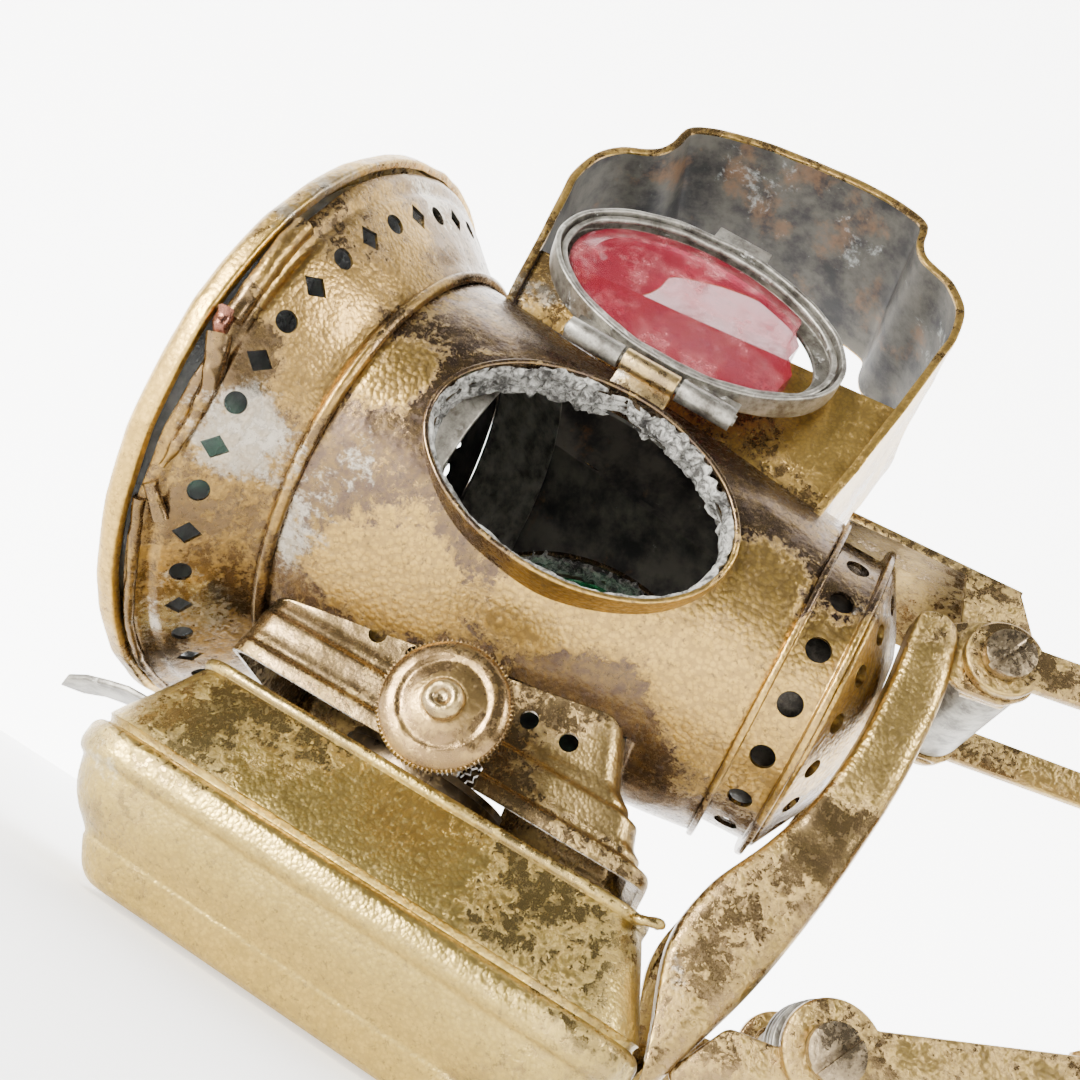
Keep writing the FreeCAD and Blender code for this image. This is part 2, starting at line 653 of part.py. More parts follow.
UPPER = V(0, size("upper_pivot_rear"), size("upper_pivot_height"))
LOWER = V(0, size("lower_pivot_rear"), size("lower_pivot_height"))
CLAMP_UPPER = V(0, size("clamp_pivot_rear"), size("clamp_upper_height"))
CLAMP_LOWER = V(0, size("clamp_pivot_rear"), size("clamp_lower_height"))
ARM_OUT = size("arm_inner") + size("arm_depth")


def cross_bore(middle, radius):
    return Part.makeCylinder(radius, 80, middle - ACROSS * 40, ACROSS)


def mirrored(shape):
    return shape.mirror(V(0, 0, 0), ACROSS)


def stay():
    outer = Part.makeCylinder(24.3, 22.5, V(0, 29.0, size("axis_height")), REARWARD)
    inner = Part.makeCylinder(23.3, 24.5, V(0, 28.0, size("axis_height")), REARWARD)
    sector = Part.makeBox(2 * 13.2, 40, 20, V(-13.2, 25, size("axis_height") + 12))
    roof = outer.cut(inner).common(sector)
    ear_side = [V(12.2, 44.5, 84.4), V(12.2, 51.4, 84.4), V(12.2, 55.6, 78), V(12.2, 56.4, 74), V(12.2, 54.4, 69.6),
                V(12.2, 49.6, 68.8), V(12.2, 47.4, 74)]
    ear = prism(ear_side, V(1.0, 0, 0))
    return roof.fuse([ear, mirrored(ear)]).cut(cross_bore(UPPER, size("bolt_radius") + 0.05)).removeSplitter()


from_shape("tail_stay", stay())


def spline_edge(points):
    curve = Part.BSplineCurve()
    curve.interpolate(points)
    return curve.toShape()


def arm_face(inset, start):
    outer = [V(start, 46.2 - inset, 73.6), V(start, 47.8 - inset, 66), V(start, 47.6 - inset, 56),
             V(start, 46.4 - inset, 46), V(start, 44.6 - inset, 36), V(start, 42.2 - inset, 26.5),
             V(start, 38.6 - inset, 16.5), V(start, 36.2 - inset * 0.2, 9.5 + inset)]
    inner = [V(start, 35.7 + inset * 0.3, 16.2), V(start, 32.9 + inset, 23.5), V(start, 32.4 + inset, 28.5),
             V(start, 34.2 + inset, 35), V(start, 37.8 + inset, 42.5), V(start, 40.2 + inset, 50),
             V(start, 41.5 + inset, 59), V(start, 41.6 + inset, 67), V(start, 41.4 + inset, 73.4)]
    top = V(start, 43.8, 75.8 - inset)
    edges = [spline_edge(outer), Part.LineSegment(outer[-1], inner[0]).toShape(), spline_edge(inner),
             Part.Arc(inner[-1], top, outer[0]).toShape()]
    return Part.Face(Part.Wire(edges))


def arm():
    inner_side = size("arm_inner")
    wall = size("arm_wall")
    blank = arm_face(0, inner_side).extrude(V(ARM_OUT - inner_side, 0, 0))
    hollow = arm_face(wall, inner_side - 1).extrude(V(ARM_OUT - inner_side - wall + 1, 0, 0))
    channel = blank.cut(hollow)
    upper_ear = prism([V(13.25, 44, 71), V(13.25, 44, 75), V(13.25, 50, 79), V(13.25, 55.4, 77.4), V(13.25, 56.6, 73),
                       V(13.25, 54, 69.2), V(13.25, 49, 68.6)], V(1.2, 0, 0))
    lower_ear = prism([V(13.25, 38.0, 15.6), V(13.25, 41.6, 22.4), V(13.25, 47.2, 23.4), V(13.25, 48.4, 27.6),
                       V(13.25, 51.6, 29.2), V(13.25, 54.8, 27.4), V(13.25, 55.2, 23.6), V(13.25, 53.0, 21.2),
                       V(13.25, 48.6, 18.8), V(13.25, 39.2, 14.6)], V(1.2, 0, 0))
    whole = channel.fuse([upper_ear, lower_ear])
    bolt = size("bolt_radius") + 0.05
    return whole.cut([cross_bore(UPPER, bolt), cross_bore(LOWER, bolt)]).removeSplitter()


arm_shape = arm()
from_shape("bracket_arm_port", arm_shape)
from_shape("bracket_arm_starboard", mirrored(arm_shape))


def cross_tube(middle, outer, inner, half_length, shift=0.0):
    start = middle + ACROSS * (shift - half_length)
    return Part.makeCylinder(outer, 2 * half_length, start, ACROSS).cut(
        Part.makeCylinder(inner, 2 * half_length + 2, start - ACROSS, ACROSS))


BOLT = size("bolt_radius")
LINK = size("link_thick")
LINK_IN = 14.5
from_shape("upper_sleeve", cross_tube(UPPER, 4.3, BOLT + 0.06, 12.15))
from_shape("lower_sleeve", cross_tube(LOWER, 3.2, BOLT + 0.06, 13.2))


def pivot_bolt(middle, reach, head):
    shank = Part.makeCylinder(BOLT, 2 * reach + 1.7, middle - ACROSS * (reach + 1.7), ACROSS)
    cap = Part.makeCylinder(head, 1.8, middle + ACROSS * reach, ACROSS)
    slot = Part.makeBox(2.0, 2 * head + 2, 0.8, middle + V(reach + 1.0, -head - 1, -0.4))
    slot.rotate(middle, ACROSS, 62)
    return shank.fuse(cap).cut(slot).removeSplitter()


def square_nut(middle, inner_face, across, thick):
    block = Part.makeBox(thick, across, across, middle + V(inner_face - thick, -across / 2, -across / 2))
    return block.cut(cross_bore(middle, BOLT + 0.03))


REACH = LINK_IN + LINK + 0.1
for label, middle in (("upper_pivot", UPPER), ("lower_pivot", LOWER)):
    from_shape(f"{label}_bolt", pivot_bolt(middle, REACH, 2.9))
    from_shape(f"{label}_nut", square_nut(middle, -REACH - 0.02, 5.6, 1.6))


def link_plate(start, end, root_eye, tip_eye, waist):
    """A flat link with an eye at each end, on the port side."""
    along = (end - start) * (1.0 / (end - start).Length)
    side = along.cross(ACROSS)
    foot = start + ACROSS * LINK_IN
    tip = end + ACROSS * LINK_IN
    bar = prism([foot + side * waist, tip + side * (waist * 0.85), tip - side * (waist * 0.85), foot - side * waist],
                V(LINK, 0, 0))
    eyes = [Part.makeCylinder(root_eye, LINK, foot, ACROSS), Part.makeCylinder(tip_eye, LINK, tip, ACROSS)]
    blank = bar.fuse(eyes)
    return blank.cut([cross_bore(start, BOLT + 0.06), cross_bore(end, BOLT + 0.06)]).removeSplitter()


upper_link = link_plate(UPPER, CLAMP_UPPER, 4.6, 4.0, 2.6)
lower_link = link_plate(LOWER, CLAMP_LOWER, 5.2, 4.0, 2.6)
from_shape("upper_link_port", upper_link)
from_shape("upper_link_starboard", mirrored(upper_link))
from_shape("lower_link_port", lower_link)
from_shape("lower_link_starboard", mirrored(lower_link))


def spring_coil():
    """A steadying coil of flat strip round the lower sleeve, between the arms."""
    turns = 3
    pitch = 2.3
    radius = 5.0
    thick = 0.35
    wide = 0.7
    spine = Part.makeHelix(pitch, pitch * turns, radius)
    corners = [V(radius - thick, 0, -wide), V(radius + thick, 0, -wide),
               V(radius + thick, 0, wide), V(radius - thick, 0, wide)]
    section = Part.makePolygon(corners + [corners[0]])
    coil = Part.Wire(spine).makePipeShell([section], True, True)
    coil.Placement = FreeCAD.Placement(LOWER + ACROSS * 4.5, FreeCAD.Rotation(REARWARD, 90))
    return coil


from_shape("steadying_spring", spring_coil())

# ---- clamp for a one-inch post: a carriage between the links, a band, a bolt and a wing nut ----

POST_RADIUS = 12.8
POST = V(0, 104.5, 60)
SCREW = POST + V(0, POST_RADIUS + 7.6, 0)


def carriage():
    back = Part.makeBox(26.4, 1.6, 48, V(-13.2, 89.2, 36))
    ear = prism([V(12.0, 90, 84), V(12.0, 90, 36), V(12.0, 84, 36.2), V(12.0, 81.8, 39), V(12.0, 82.4, 44),
                 V(12.0, 87, 48), V(12.0, 87, 72), V(12.0, 82.4, 76), V(12.0, 81.8, 81), V(12.0, 84, 83.8)],
                V(1.2, 0, 0))
    whole = back.fuse([ear, mirrored(ear)])
    slack = Part.makeCylinder(BOLT + 0.6, 80, CLAMP_LOWER - ACROSS * 40, ACROSS)
    return whole.cut([cross_bore(CLAMP_UPPER, BOLT + 0.05), slack]).removeSplitter()


def cross_pin(middle):
    shank = Part.makeCylinder(BOLT, 2 * REACH, middle - ACROSS * REACH, ACROSS)
    heads = [Part.makeCylinder(3.0, 1.0, middle + ACROSS * REACH, ACROSS),
             Part.makeCylinder(3.0, 1.0, middle - ACROSS * (REACH + 1.0), ACROSS)]
    return shank.fuse(heads).removeSplitter()


def clamp_band():
    base = POST - UP * 9
    band = Part.makeCylinder(POST_RADIUS + 1.8, 18, base, UP)
    foot = Part.makeBox(16, 5, 18, base + V(-8, -POST_RADIUS - 0.84 - 0.02 - 0.04, 0))
    lug = Part.makeBox(7.2, 11.5, 12, POST + V(-3.6, POST_RADIUS + 0.4, -6))
    slit = Part.makeBox(2.4, 16, 20, POST + V(-1.2, POST_RADIUS - 3, -10))
    bore = Part.makeCylinder(POST_RADIUS, 20, base - UP, UP)
    bolt_bore = Part.makeCylinder(1.6, 40, SCREW - ACROSS * 20, ACROSS)
    front_trim = Part.makeBox(30, 10, 30, V(-15, 90.82 - 10, 45))
    return band.fuse([foot, lug]).cut([slit, bore, bolt_bore, front_trim]).removeSplitter()


def clamp_screw():
    shank = Part.makeCylinder(1.55, 13.0, SCREW - ACROSS * 3.62, ACROSS)
    head = Part.makeCylinder(3.0, 1.8, SCREW - ACROSS * 5.42, ACROSS)
    return head.fuse(shank).removeSplitter()


def wing_nut():
    hub = Part.makeCylinder(3.0, 3.4, SCREW + ACROSS * 3.62, ACROSS)
    wings = prism([SCREW + V(4.2, 2.0, -0.7), SCREW + V(6.4, 2.0, -0.7), SCREW + V(9.4, 6.0, -0.7),
                   SCREW + V(6.2, 6.2, -0.7)], V(0, 0, 1.4))
    other = wings.copy()
    other.rotate(SCREW, ACROSS, 180)
    return hub.fuse([wings, other]).cut(Part.makeCylinder(1.56, 30, SCREW, ACROSS)).removeSplitter()


from_shape("clamp_carriage", carriage())
from_shape("clamp_pin_upper", cross_pin(CLAMP_UPPER))
from_shape("clamp_pin_lower", cross_pin(CLAMP_LOWER))
from_shape("clamp_band", clamp_band())
from_shape("clamp_screw", clamp_screw())
from_shape("clamp_wing_nut", wing_nut())

# ---- check and write ----

doc.recompute()
for item in doc.Objects:
    if "Invalid" in item.State or "Error" in item.State:
        raise RuntimeError(f"{item.Name} is {item.State}")
os.makedirs("parts", exist_ok=True)
for node in nodes:
    shape = node.Shape
    if shape.isNull() or not shape.isValid():
        raise RuntimeError(f"{node.Label} has no valid shape")
    box = shape.BoundBox
    print(f"{node.Label:24s} {len(shape.Solids)} {shape.Volume:10.1f}  x {box.XMin:7.1f} {box.XMax:7.1f}"
          f"  y {box.YMin:7.1f} {box.YMax:7.1f}  z {box.ZMin:7.1f} {box.ZMax:7.1f}")
    shape.exportStep(f"parts/{node.Label}.step")
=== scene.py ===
import json
import math

import bmesh
import bpy
from mathutils import Matrix, Vector, noise


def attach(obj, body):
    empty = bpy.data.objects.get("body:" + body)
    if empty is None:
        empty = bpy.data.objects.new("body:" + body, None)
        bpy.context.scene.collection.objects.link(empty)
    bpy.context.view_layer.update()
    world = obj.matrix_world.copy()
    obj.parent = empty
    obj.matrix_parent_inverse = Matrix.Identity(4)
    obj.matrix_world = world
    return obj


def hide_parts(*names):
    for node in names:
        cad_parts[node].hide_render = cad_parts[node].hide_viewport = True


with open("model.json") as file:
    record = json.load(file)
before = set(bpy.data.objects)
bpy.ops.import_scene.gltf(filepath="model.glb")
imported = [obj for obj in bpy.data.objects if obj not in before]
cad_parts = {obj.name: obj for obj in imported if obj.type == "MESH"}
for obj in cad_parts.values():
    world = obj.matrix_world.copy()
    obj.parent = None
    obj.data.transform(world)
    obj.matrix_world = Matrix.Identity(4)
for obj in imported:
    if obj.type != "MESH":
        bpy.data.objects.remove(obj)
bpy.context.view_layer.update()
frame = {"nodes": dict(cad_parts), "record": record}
nodes = frame["nodes"]

MM = 0.001
AXIS_HEIGHT = 64.4          # barrel axis above the font's flat bottom, mm
PORT, STARBOARD = 1, -1

# ---------------------------------------------------------------- camera, light and floor

RIGHT = Vector((-0.0138, 0.8625, 0.5058)).normalized()
UP = Vector((0.4383, -0.4494, 0.7784))
UP = (UP - RIGHT * UP.dot(RIGHT)).normalized()


def set_camera(place, lens):
    data = bpy.data.cameras.new("camera")
    data.lens = lens
    data.sensor_width = 36
    data.clip_start = 0.005
    camera = bpy.data.objects.new("camera", data)
    turn = Matrix((RIGHT, UP, RIGHT.cross(UP))).transposed().to_4x4()
    camera.matrix_world = Matrix.Translation(place) @ turn
    bpy.context.collection.objects.link(camera)
    bpy.context.scene.camera = camera


def add_light(name, place, target, size, power, colour=(1, 1, 1)):
    data = bpy.data.lights.new(name, "AREA")
    data.size = size
    data.energy = power
    data.color = colour
    lamp = bpy.data.objects.new(name, data)
    lamp.location = place
    lamp.rotation_euler = (Vector(place) - Vector(target)).to_track_quat("Z", "Y").to_euler()
    bpy.context.collection.objects.link(lamp)


def set_world(colour, strength):
    world = bpy.data.worlds.new("studio")
    world.use_nodes = True
    background = world.node_tree.nodes["Background"]
    background.inputs["Color"].default_value = (*colour, 1)
    background.inputs["Strength"].default_value = strength
    bpy.context.scene.world = world


# ---------------------------------------------------------------- shader sums


class Wire:
    """A socket in a material, usable in ordinary sums with numbers and other wires."""

    def __init__(self, finish, socket):
        self.finish = finish
        self.socket = socket

    def _sum(self, operation, first, second):
        return self.finish.node("ShaderNodeMath", {"operation": operation}, {0: first, 1: second})

    def __add__(self, other):
        return self._sum("ADD", self, other)

    def __radd__(self, other):
        return self._sum("ADD", other, self)

    def __sub__(self, other):
        return self._sum("SUBTRACT", self, other)

    def __rsub__(self, other):
        return self._sum("SUBTRACT", other, self)

    def __mul__(self, other):
        return self._sum("MULTIPLY", self, other)

    def __rmul__(self, other):
        return self._sum("MULTIPLY", other, self)

    def at_most(self, other):
        return self._sum("MINIMUM", self, other)


class Finish:
    """One material and the nodes it is made of."""

    def __init__(self, name):
        self.material = bpy.data.materials.new(name)
        self.material.use_nodes = True
        self.nodes = self.material.node_tree.nodes
        self.links = self.material.node_tree.links
        self.shader = self.nodes["Principled BSDF"]
        self.place = self.node("ShaderNodeTexCoord", output="Object")

    def feed(self, socket, value):
        if isinstance(value, Wire):
            self.links.new(value.socket, socket)
        elif isinstance(value, tuple) and len(value) == 3 and socket.type == "RGBA":
            socket.default_value = (*value, 1)
        else:
            socket.default_value = value

    def node(self, kind, settings=None, inputs=None, output=0):
        made = self.nodes.new(kind)
        for key, value in (settings or {}).items():
            if key == "stops":
                ramp = made.color_ramp
                while len(ramp.elements) < len(value):
                    ramp.elements.new(0.5)
                for element, (position, colour) in zip(ramp.elements, value):
                    element.position = position
                    element.color = (*colour, 1)
            else:
                setattr(made, key, value)
        for key, value in (inputs or {}).items():
            self.feed(made.inputs[key], value)
        return Wire(self, made.outputs[output])

    def set(self, **values):
        for key, value in values.items():
            self.feed(self.shader.inputs[key.replace("_", " ")], value)

    def noise(self, size_mm, detail=3.0, roughness=0.55, stretch=None, distortion=0.0):
        """Cloudy values from 0 to 1 whose main blotches are about size_mm across."""
        place = self.place
        if stretch:
            place = self.node("ShaderNodeMapping", {}, {"Vector": self.place, "Scale": stretch})
        return self.node("ShaderNodeTexNoise", {}, {
            "Vector": place, "Scale": 1000.0 / size_mm, "Detail": detail,
            "Roughness": roughness, "Distortion": distortion})

    def grains(self, size_mm):
        return self.node("ShaderNodeTexVoronoi", {"feature": "F1"}, {
            "Vector": self.place, "Scale": 1000.0 / size_mm})

    def ramp(self, value, low, high):
        """0 below low, 1 above high, smooth between."""
        return self.node("ShaderNodeMapRange", {"interpolation_type": "SMOOTHSTEP"}, {
            "Value": value, "From Min": low, "From Max": high, "To Min": 0.0, "To Max": 1.0})

    def mix(self, share, first, second):
        return self.node("ShaderNodeMix", {"data_type": "RGBA"}, {0: share, 6: first, 7: second}, output=2)

    def axes(self):
        made = self.nodes.new("ShaderNodeSeparateXYZ")
        self.links.new(self.place.socket, made.inputs[0])
        return [Wire(self, made.outputs[index]) for index in range(3)]

    def spot(self, centre_mm, reach_mm, soft_mm):
        """1 near a point of the object, fading to 0 at reach."""
        gap = self.node("ShaderNodeVectorMath", {"operation": "DISTANCE"}, {
            0: self.place, 1: tuple(value * MM for value in centre_mm)}, output="Value")
        return 1 - self.ramp(gap, (reach_mm - soft_mm) * MM, reach_mm * MM)

    def bump(self, height, depth_mm, strength=1.0, under=None):
        inputs = {"Height": height, "Distance": depth_mm * MM, "Strength": strength}
        if under is not None:
            inputs["Normal"] = under
        return self.node("ShaderNodeBump", {}, inputs)


# ---------------------------------------------------------------- finishes


def aged_brass(name, gold, brown, sheen, gold_share=0.5, rub_and_sheen_share=0.12, grain_mm=0.45, grain_depth=0.05,
               soot=0.0, spots=()):
    """Old lacquerless brass: gold where rubbed, brown where tarnished, and greyish-silver patches, partly
    polished thin and partly painted highlight.
    spots lists (kind, centre, reach, softness, strength), with kind gold, brown, sheen or soot; sheen spots
    paint highlights, and some gold spots paint highlight bands."""
    brass = Finish(name)
    broad = brass.noise(10, detail=7, roughness=0.66)
    cloud = brass.noise(1.7, detail=8, roughness=0.74, distortion=0.3)
    fine = brass.noise(0.55, detail=4, roughness=0.7)
    pits = brass.grains(grain_mm)
    golden = broad * 0.46 + cloud * 0.40 + fine * 0.14
    # Silvery patches: partly rubbed wear, partly painted highlight.
    rub_and_sheen_cloud = brass.noise(7, detail=7, roughness=0.70, stretch=(1.0, 0.7, 1.4)) * 0.75 + fine * 0.25
    sooty = brass.noise(6, detail=6, roughness=0.68) * 0.5
    for kind, centre, reach, soft, strength in spots:
        mask = brass.spot(centre, reach, soft) * strength
        # Gold spots mostly mark rubbed places; some of them paint a highlight band.
        if kind == "gold":
            golden = golden + mask
        elif kind == "brown":
            golden = golden - mask
        # Sheen spots paint silvery highlights.
        elif kind == "sheen":
            rub_and_sheen_cloud = rub_and_sheen_cloud + mask
        else:
            sooty = sooty + mask
    gold_mask = brass.ramp(golden, 0.60 - 0.22 * gold_share, 0.68 - 0.22 * gold_share)
    rub_and_sheen_mask = brass.ramp(rub_and_sheen_cloud, 0.66 - rub_and_sheen_share, 0.76 - rub_and_sheen_share)
    soot_mask = brass.ramp(sooty + cloud * 0.3 + soot, 0.62, 1.05)
    speck = brass.ramp(brass.noise(0.8, detail=6, roughness=0.78), 0.54, 0.64)
    tint = brass.mix(gold_mask, brown, gold)
    tint = brass.mix(brass.ramp(cloud, 0.35, 0.7) * 0.5, tint, tuple(channel * 0.55 for channel in gold))
    # Painted highlight: the silvery patches are mixed into the colour here.
    tint = brass.mix(rub_and_sheen_mask * 0.7, tint, sheen)
    deep = tuple(channel * 0.38 for channel in brown)
    tint = brass.mix(speck * (0.60 - rub_and_sheen_mask * 0.3), tint, deep)
    tint = brass.mix(brass.ramp(pits, 0.36, 0.64) * 0.35 * gold_mask, tint, brown)
    tint = brass.mix(soot_mask * 0.9, tint, (0.030, 0.026, 0.023))
    grain = (1 - pits) * 0.6 + fine * 0.4
    dents = brass.noise(8, detail=3, roughness=0.5)
    relief = brass.bump(dents, 0.7, 0.55)
    relief = brass.bump(grain * (0.30 + gold_mask * 0.70), grain_depth, 1.0, relief)
    brass.set(Base_Color=tint, Metallic=0.97 - soot_mask * 0.5 - speck * 0.22,
              Roughness=(0.27 + gold_mask * 0.05 + speck * 0.20 + soot_mask * 0.3).at_most(0.9),
              Normal=relief)
    return brass.material


def worn_nickel(name, pale, dark, crust_share=0.3, spots=()):
    """Dull plate, stained grey, with patches of chalky crust."""
    metal = Finish(name)
    cloud = metal.noise(3.5, detail=6, roughness=0.68)
    fine = metal.noise(0.8, detail=5, roughness=0.72)
    crust = metal.noise(2.2, detail=7, roughness=0.72, distortion=0.6)
    for kind, centre, reach, soft, strength in spots:
        mask = metal.spot(centre, reach, soft) * strength
        if kind == "crust":
            crust = crust + mask
        else:
            cloud = cloud - mask
    tint = metal.mix(metal.ramp(cloud * 0.7 + fine * 0.3, 0.36, 0.62), dark, pale)
    crusty = metal.ramp(crust, 0.66 - crust_share * 0.35, 0.78 - crust_share * 0.35)
    tint = metal.mix(crusty * 0.8, tint, (0.60, 0.59, 0.55))
    relief = metal.bump(cloud, 0.25, 0.5)
    relief = metal.bump(fine * 0.6 + crusty * 0.8, 0.07, 0.9, relief)
    metal.set(Base_Color=tint, Metallic=0.85 - crusty * 0.75, Roughness=0.36 + crusty * 0.45 + fine * 0.15,
              Normal=relief)
    return metal.material


def chalk_cement(name):
    """Old plaster bedding round the windows, crumbling and soot stained."""
    cement = Finish(name)
    lumps = cement.noise(0.9, detail=8, roughness=0.75, distortion=0.8)
    cloud = cement.noise(4, detail=5, roughness=0.6)
    clean = cement.ramp(lumps * 0.6 + cloud * 0.4, 0.42, 0.60)
    tint = cement.mix(clean, (0.035, 0.032, 0.028), (0.46, 0.45, 0.41))
    cement.set(Base_Color=tint, Metallic=0.0, Roughness=0.93, Normal=cement.bump(lumps, 0.5, 1.0))
    return cement.material


def sooty_sheet(name, spots=()):
    """The inside of the hood and barrel: black soot, brown heat stains and white bloom."""
    sheet = Finish(name)
    cloud = sheet.noise(7, detail=6, roughness=0.64)
    bloom = sheet.noise(5, detail=8, roughness=0.72, distortion=0.5)
    fine = sheet.noise(0.9, detail=5, roughness=0.7)
    rust = sheet.noise(9, detail=5, roughness=0.6, stretch=(1.0, 1.3, 0.8))
    for kind, centre, reach, soft, strength in spots:
        mask = sheet.spot(centre, reach, soft) * strength
        if kind == "bloom":
            bloom = bloom + mask
        elif kind == "rust":
            rust = rust + mask
        else:
            cloud = cloud - mask
    tint = sheet.mix(sheet.ramp(cloud, 0.34, 0.66), (0.010, 0.009, 0.009), (0.075, 0.068, 0.055))
    tint = sheet.mix(sheet.ramp(rust * 0.8 + fine * 0.2, 0.56, 0.70) * 0.6, tint, (0.15, 0.075, 0.032))
    white = sheet.ramp(bloom * 0.7 + fine * 0.3, 0.60, 0.74)
    tint = sheet.mix(white * 0.7, tint, (0.34, 0.36, 0.34))
    sheet.shader.inputs["Specular IOR Level"].default_value = 0.2
    sheet.set(Base_Color=tint, Metallic=0.12 - white * 0.1, Roughness=0.62 + white * 0.25,
              Normal=sheet.bump(fine * 0.5 + bloom * 0.5, 0.12, 0.8))
    return sheet.material


def coloured_glass(name, deep, pale, clear=0.35):
    """Pressed signal glass, hazed and scratched by age."""
    glass = Finish(name)
    haze = glass.noise(5, detail=6, roughness=0.62)
    scratch = glass.noise(1.4, detail=6, roughness=0.7, stretch=(0.3, 1.0, 1.9))
    dirt = glass.ramp(haze * 0.7 + scratch * 0.3, 0.46, 0.66)
    glass.set(Base_Color=glass.mix(dirt * 0.55, deep, pale), Metallic=0.0,
              Roughness=0.10 + dirt * 0.22, Alpha=1 - clear + dirt * clear * 0.6,
              Normal=glass.bump(scratch, 0.03, 0.5))
    glass.shader.inputs["IOR"].default_value = 1.5
    glass.shader.inputs["Transmission Weight"].default_value = 0.45
    return glass.material


def clear_glass(name):
    """The front glass, painted dark and nearly opaque so that little light comes through and the inside of the
    bell stays in shade.
    """
    glass = Finish(name)
    haze = glass.noise(9, detail=6, roughness=0.62)
    glass_darkness = glass.ramp(haze, 0.35, 0.68)
    # Painted shade: the pane is coloured dark grey to near black so that it keeps the bell's inside dark.
    glass.set(Base_Color=glass.mix(glass_darkness, (0.030, 0.032, 0.030), (0.16, 0.16, 0.145)),
              Roughness=0.06 + haze * 0.16, Alpha=0.90 + glass_darkness * 0.08, Normal=glass.bump(haze, 0.05, 0.3))
    glass.shader.inputs["IOR"].default_value = 1.5
    return glass.material


def wick_cotton(name):
    cotton = Finish(name)
    across, _, height = cotton.axes()
    ribs = cotton.node("ShaderNodeMath", {"operation": "SINE"}, {0: across * (2 * math.pi / (0.9 * MM))})
    rows = cotton.node("ShaderNodeMath", {"operation": "SINE"}, {0: height * (2 * math.pi / (0.7 * MM))})
    weave = (ribs * rows) * 0.5 + 0.5
    char = cotton.ramp(height, 50 * MM, 54.5 * MM)
    tint = cotton.mix(weave, (0.42, 0.36, 0.26), (0.68, 0.62, 0.50))
    tint = cotton.mix(char, tint, (0.02, 0.018, 0.015))
    cotton.set(Base_Color=tint, Roughness=0.95, Normal=cotton.bump(weave, 0.2, 0.9))
    return cotton.material


# ---------------------------------------------------------------- mesh helpers, all sizes in mm


def mesh_object(name, points, faces, material, sharp=40.0):
    mesh = bpy.data.meshes.new(name)
    mesh.from_pydata([tuple(value * MM for value in point) for point in points], [], faces)
    item = bpy.data.objects.new(name, mesh)
    mesh.materials.append(material)
    bpy.context.collection.objects.link(item)
    finish_mesh(item, sharp)
    return item


def finish_mesh(item, sharp=40.0, merge=0.002):
    """Merges doubles, turns normals outwards and shades smooth except over sharp edges."""
    work = bmesh.new()
    work.from_mesh(item.data)
    bmesh.ops.remove_doubles(work, verts=work.verts, dist=merge * MM)
    bmesh.ops.recalc_face_normals(work, faces=work.faces)
    work.to_mesh(item.data)
    work.free()
    item.data.shade_smooth()
    item.data.set_sharp_from_angle(angle=math.radians(sharp))


def settle(item):
    """Bakes the modifiers into a plain mesh."""
    graph = bpy.context.evaluated_depsgraph_get()
    mesh = bpy.data.meshes.new_from_object(item.evaluated_get(graph))
    item.modifiers.clear()
    item.data = mesh


def cut_away(item, *cutters):
    for cutter in cutters:
        modifier = item.modifiers.new("cut", "BOOLEAN")
        modifier.operation = "DIFFERENCE"
        modifier.solver = "EXACT"
        modifier.object = cutter
    settle(item)
    for cutter in cutters:
        bpy.data.objects.remove(cutter)


def bevelled(item, width, segments=2, limit=40.0):
    modifier = item.modifiers.new("edge", "BEVEL")
    modifier.width = width * MM
    modifier.segments = segments
    modifier.limit_method = "ANGLE"
    modifier.angle_limit = math.radians(limit)
    modifier.harden_normals = False
    settle(item)


def wander(point, size, depth, seed=0.0):
    """A smooth random push at a place, about size mm across and depth mm deep."""
    where = Vector(point) / size + Vector((seed, seed * 1.7, seed * 0.3))
    return noise.noise(where) * depth


def dented(item, size, depth, seed=0.0, inward=False):
    """Presses shallow dents along the normals; with inward no place stands out further than before."""
    mesh = item.data
    normals = [vertex.normal.copy() for vertex in mesh.vertices]
    for vertex, normal in zip(mesh.vertices, normals):
        push = wander(vertex.co / MM, size, depth, seed)
        if inward:
            push = -abs(push)
        vertex.co += normal * push * MM


def two_faced(item, inner_material, faces_inward):
    """Gives the inner material to the faces that faces_inward(centre in mm, normal) picks."""
    item.data.materials.append(inner_material)
    for face in item.data.polygons:
        if faces_inward(face.center / MM, face.normal):
            face.material_index = len(item.data.materials) - 1


def piece(item, body, finish, *old):
    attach(item, body)
    if old:
        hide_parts(*old)
    return item


def soft_outline(corners, fillet=0.3, steps=3, longest=3.0):
    """A closed outline with rounded corners and no long straight runs. A corner may carry its own fillet."""
    rounded = []
    count = len(corners)
    for index, corner in enumerate(corners):
        here = Vector(corner[:2])
        before = Vector(corners[index - 1][:2])
        after = Vector(corners[(index + 1) % count][:2])
        reach = corner[2] if len(corner) > 2 else fillet
        reach = min(reach, (before - here).length * 0.45, (after - here).length * 0.45)
        if reach < 0.01:
            rounded.append(here)
            continue
        start = here + (before - here).normalized() * reach
        end = here + (after - here).normalized() * reach
        for step in range(steps + 1):
            share = step / steps
            rounded.append(start.lerp(here, share).lerp(here.lerp(end, share), share))
    outline = []
    for index, here in enumerate(rounded):
        after = rounded[(index + 1) % len(rounded)]
        parts = max(1, math.ceil((after - here).length / longest))
        outline.extend(here.lerp(after, part / parts) for part in range(parts))
    return outline


def ring_faces(rings, count, closed_rings=True):
    """Faces between closed loops of count points; closed_rings joins the last loop to the first."""
    faces = []
    for ring in range(rings if closed_rings else rings - 1):
        following = (ring + 1) % rings
        for index in range(count):
            beside = (index + 1) % count
            faces.append((ring * count + index, ring * count + beside,
                          following * count + beside, following * count + index))
    return faces


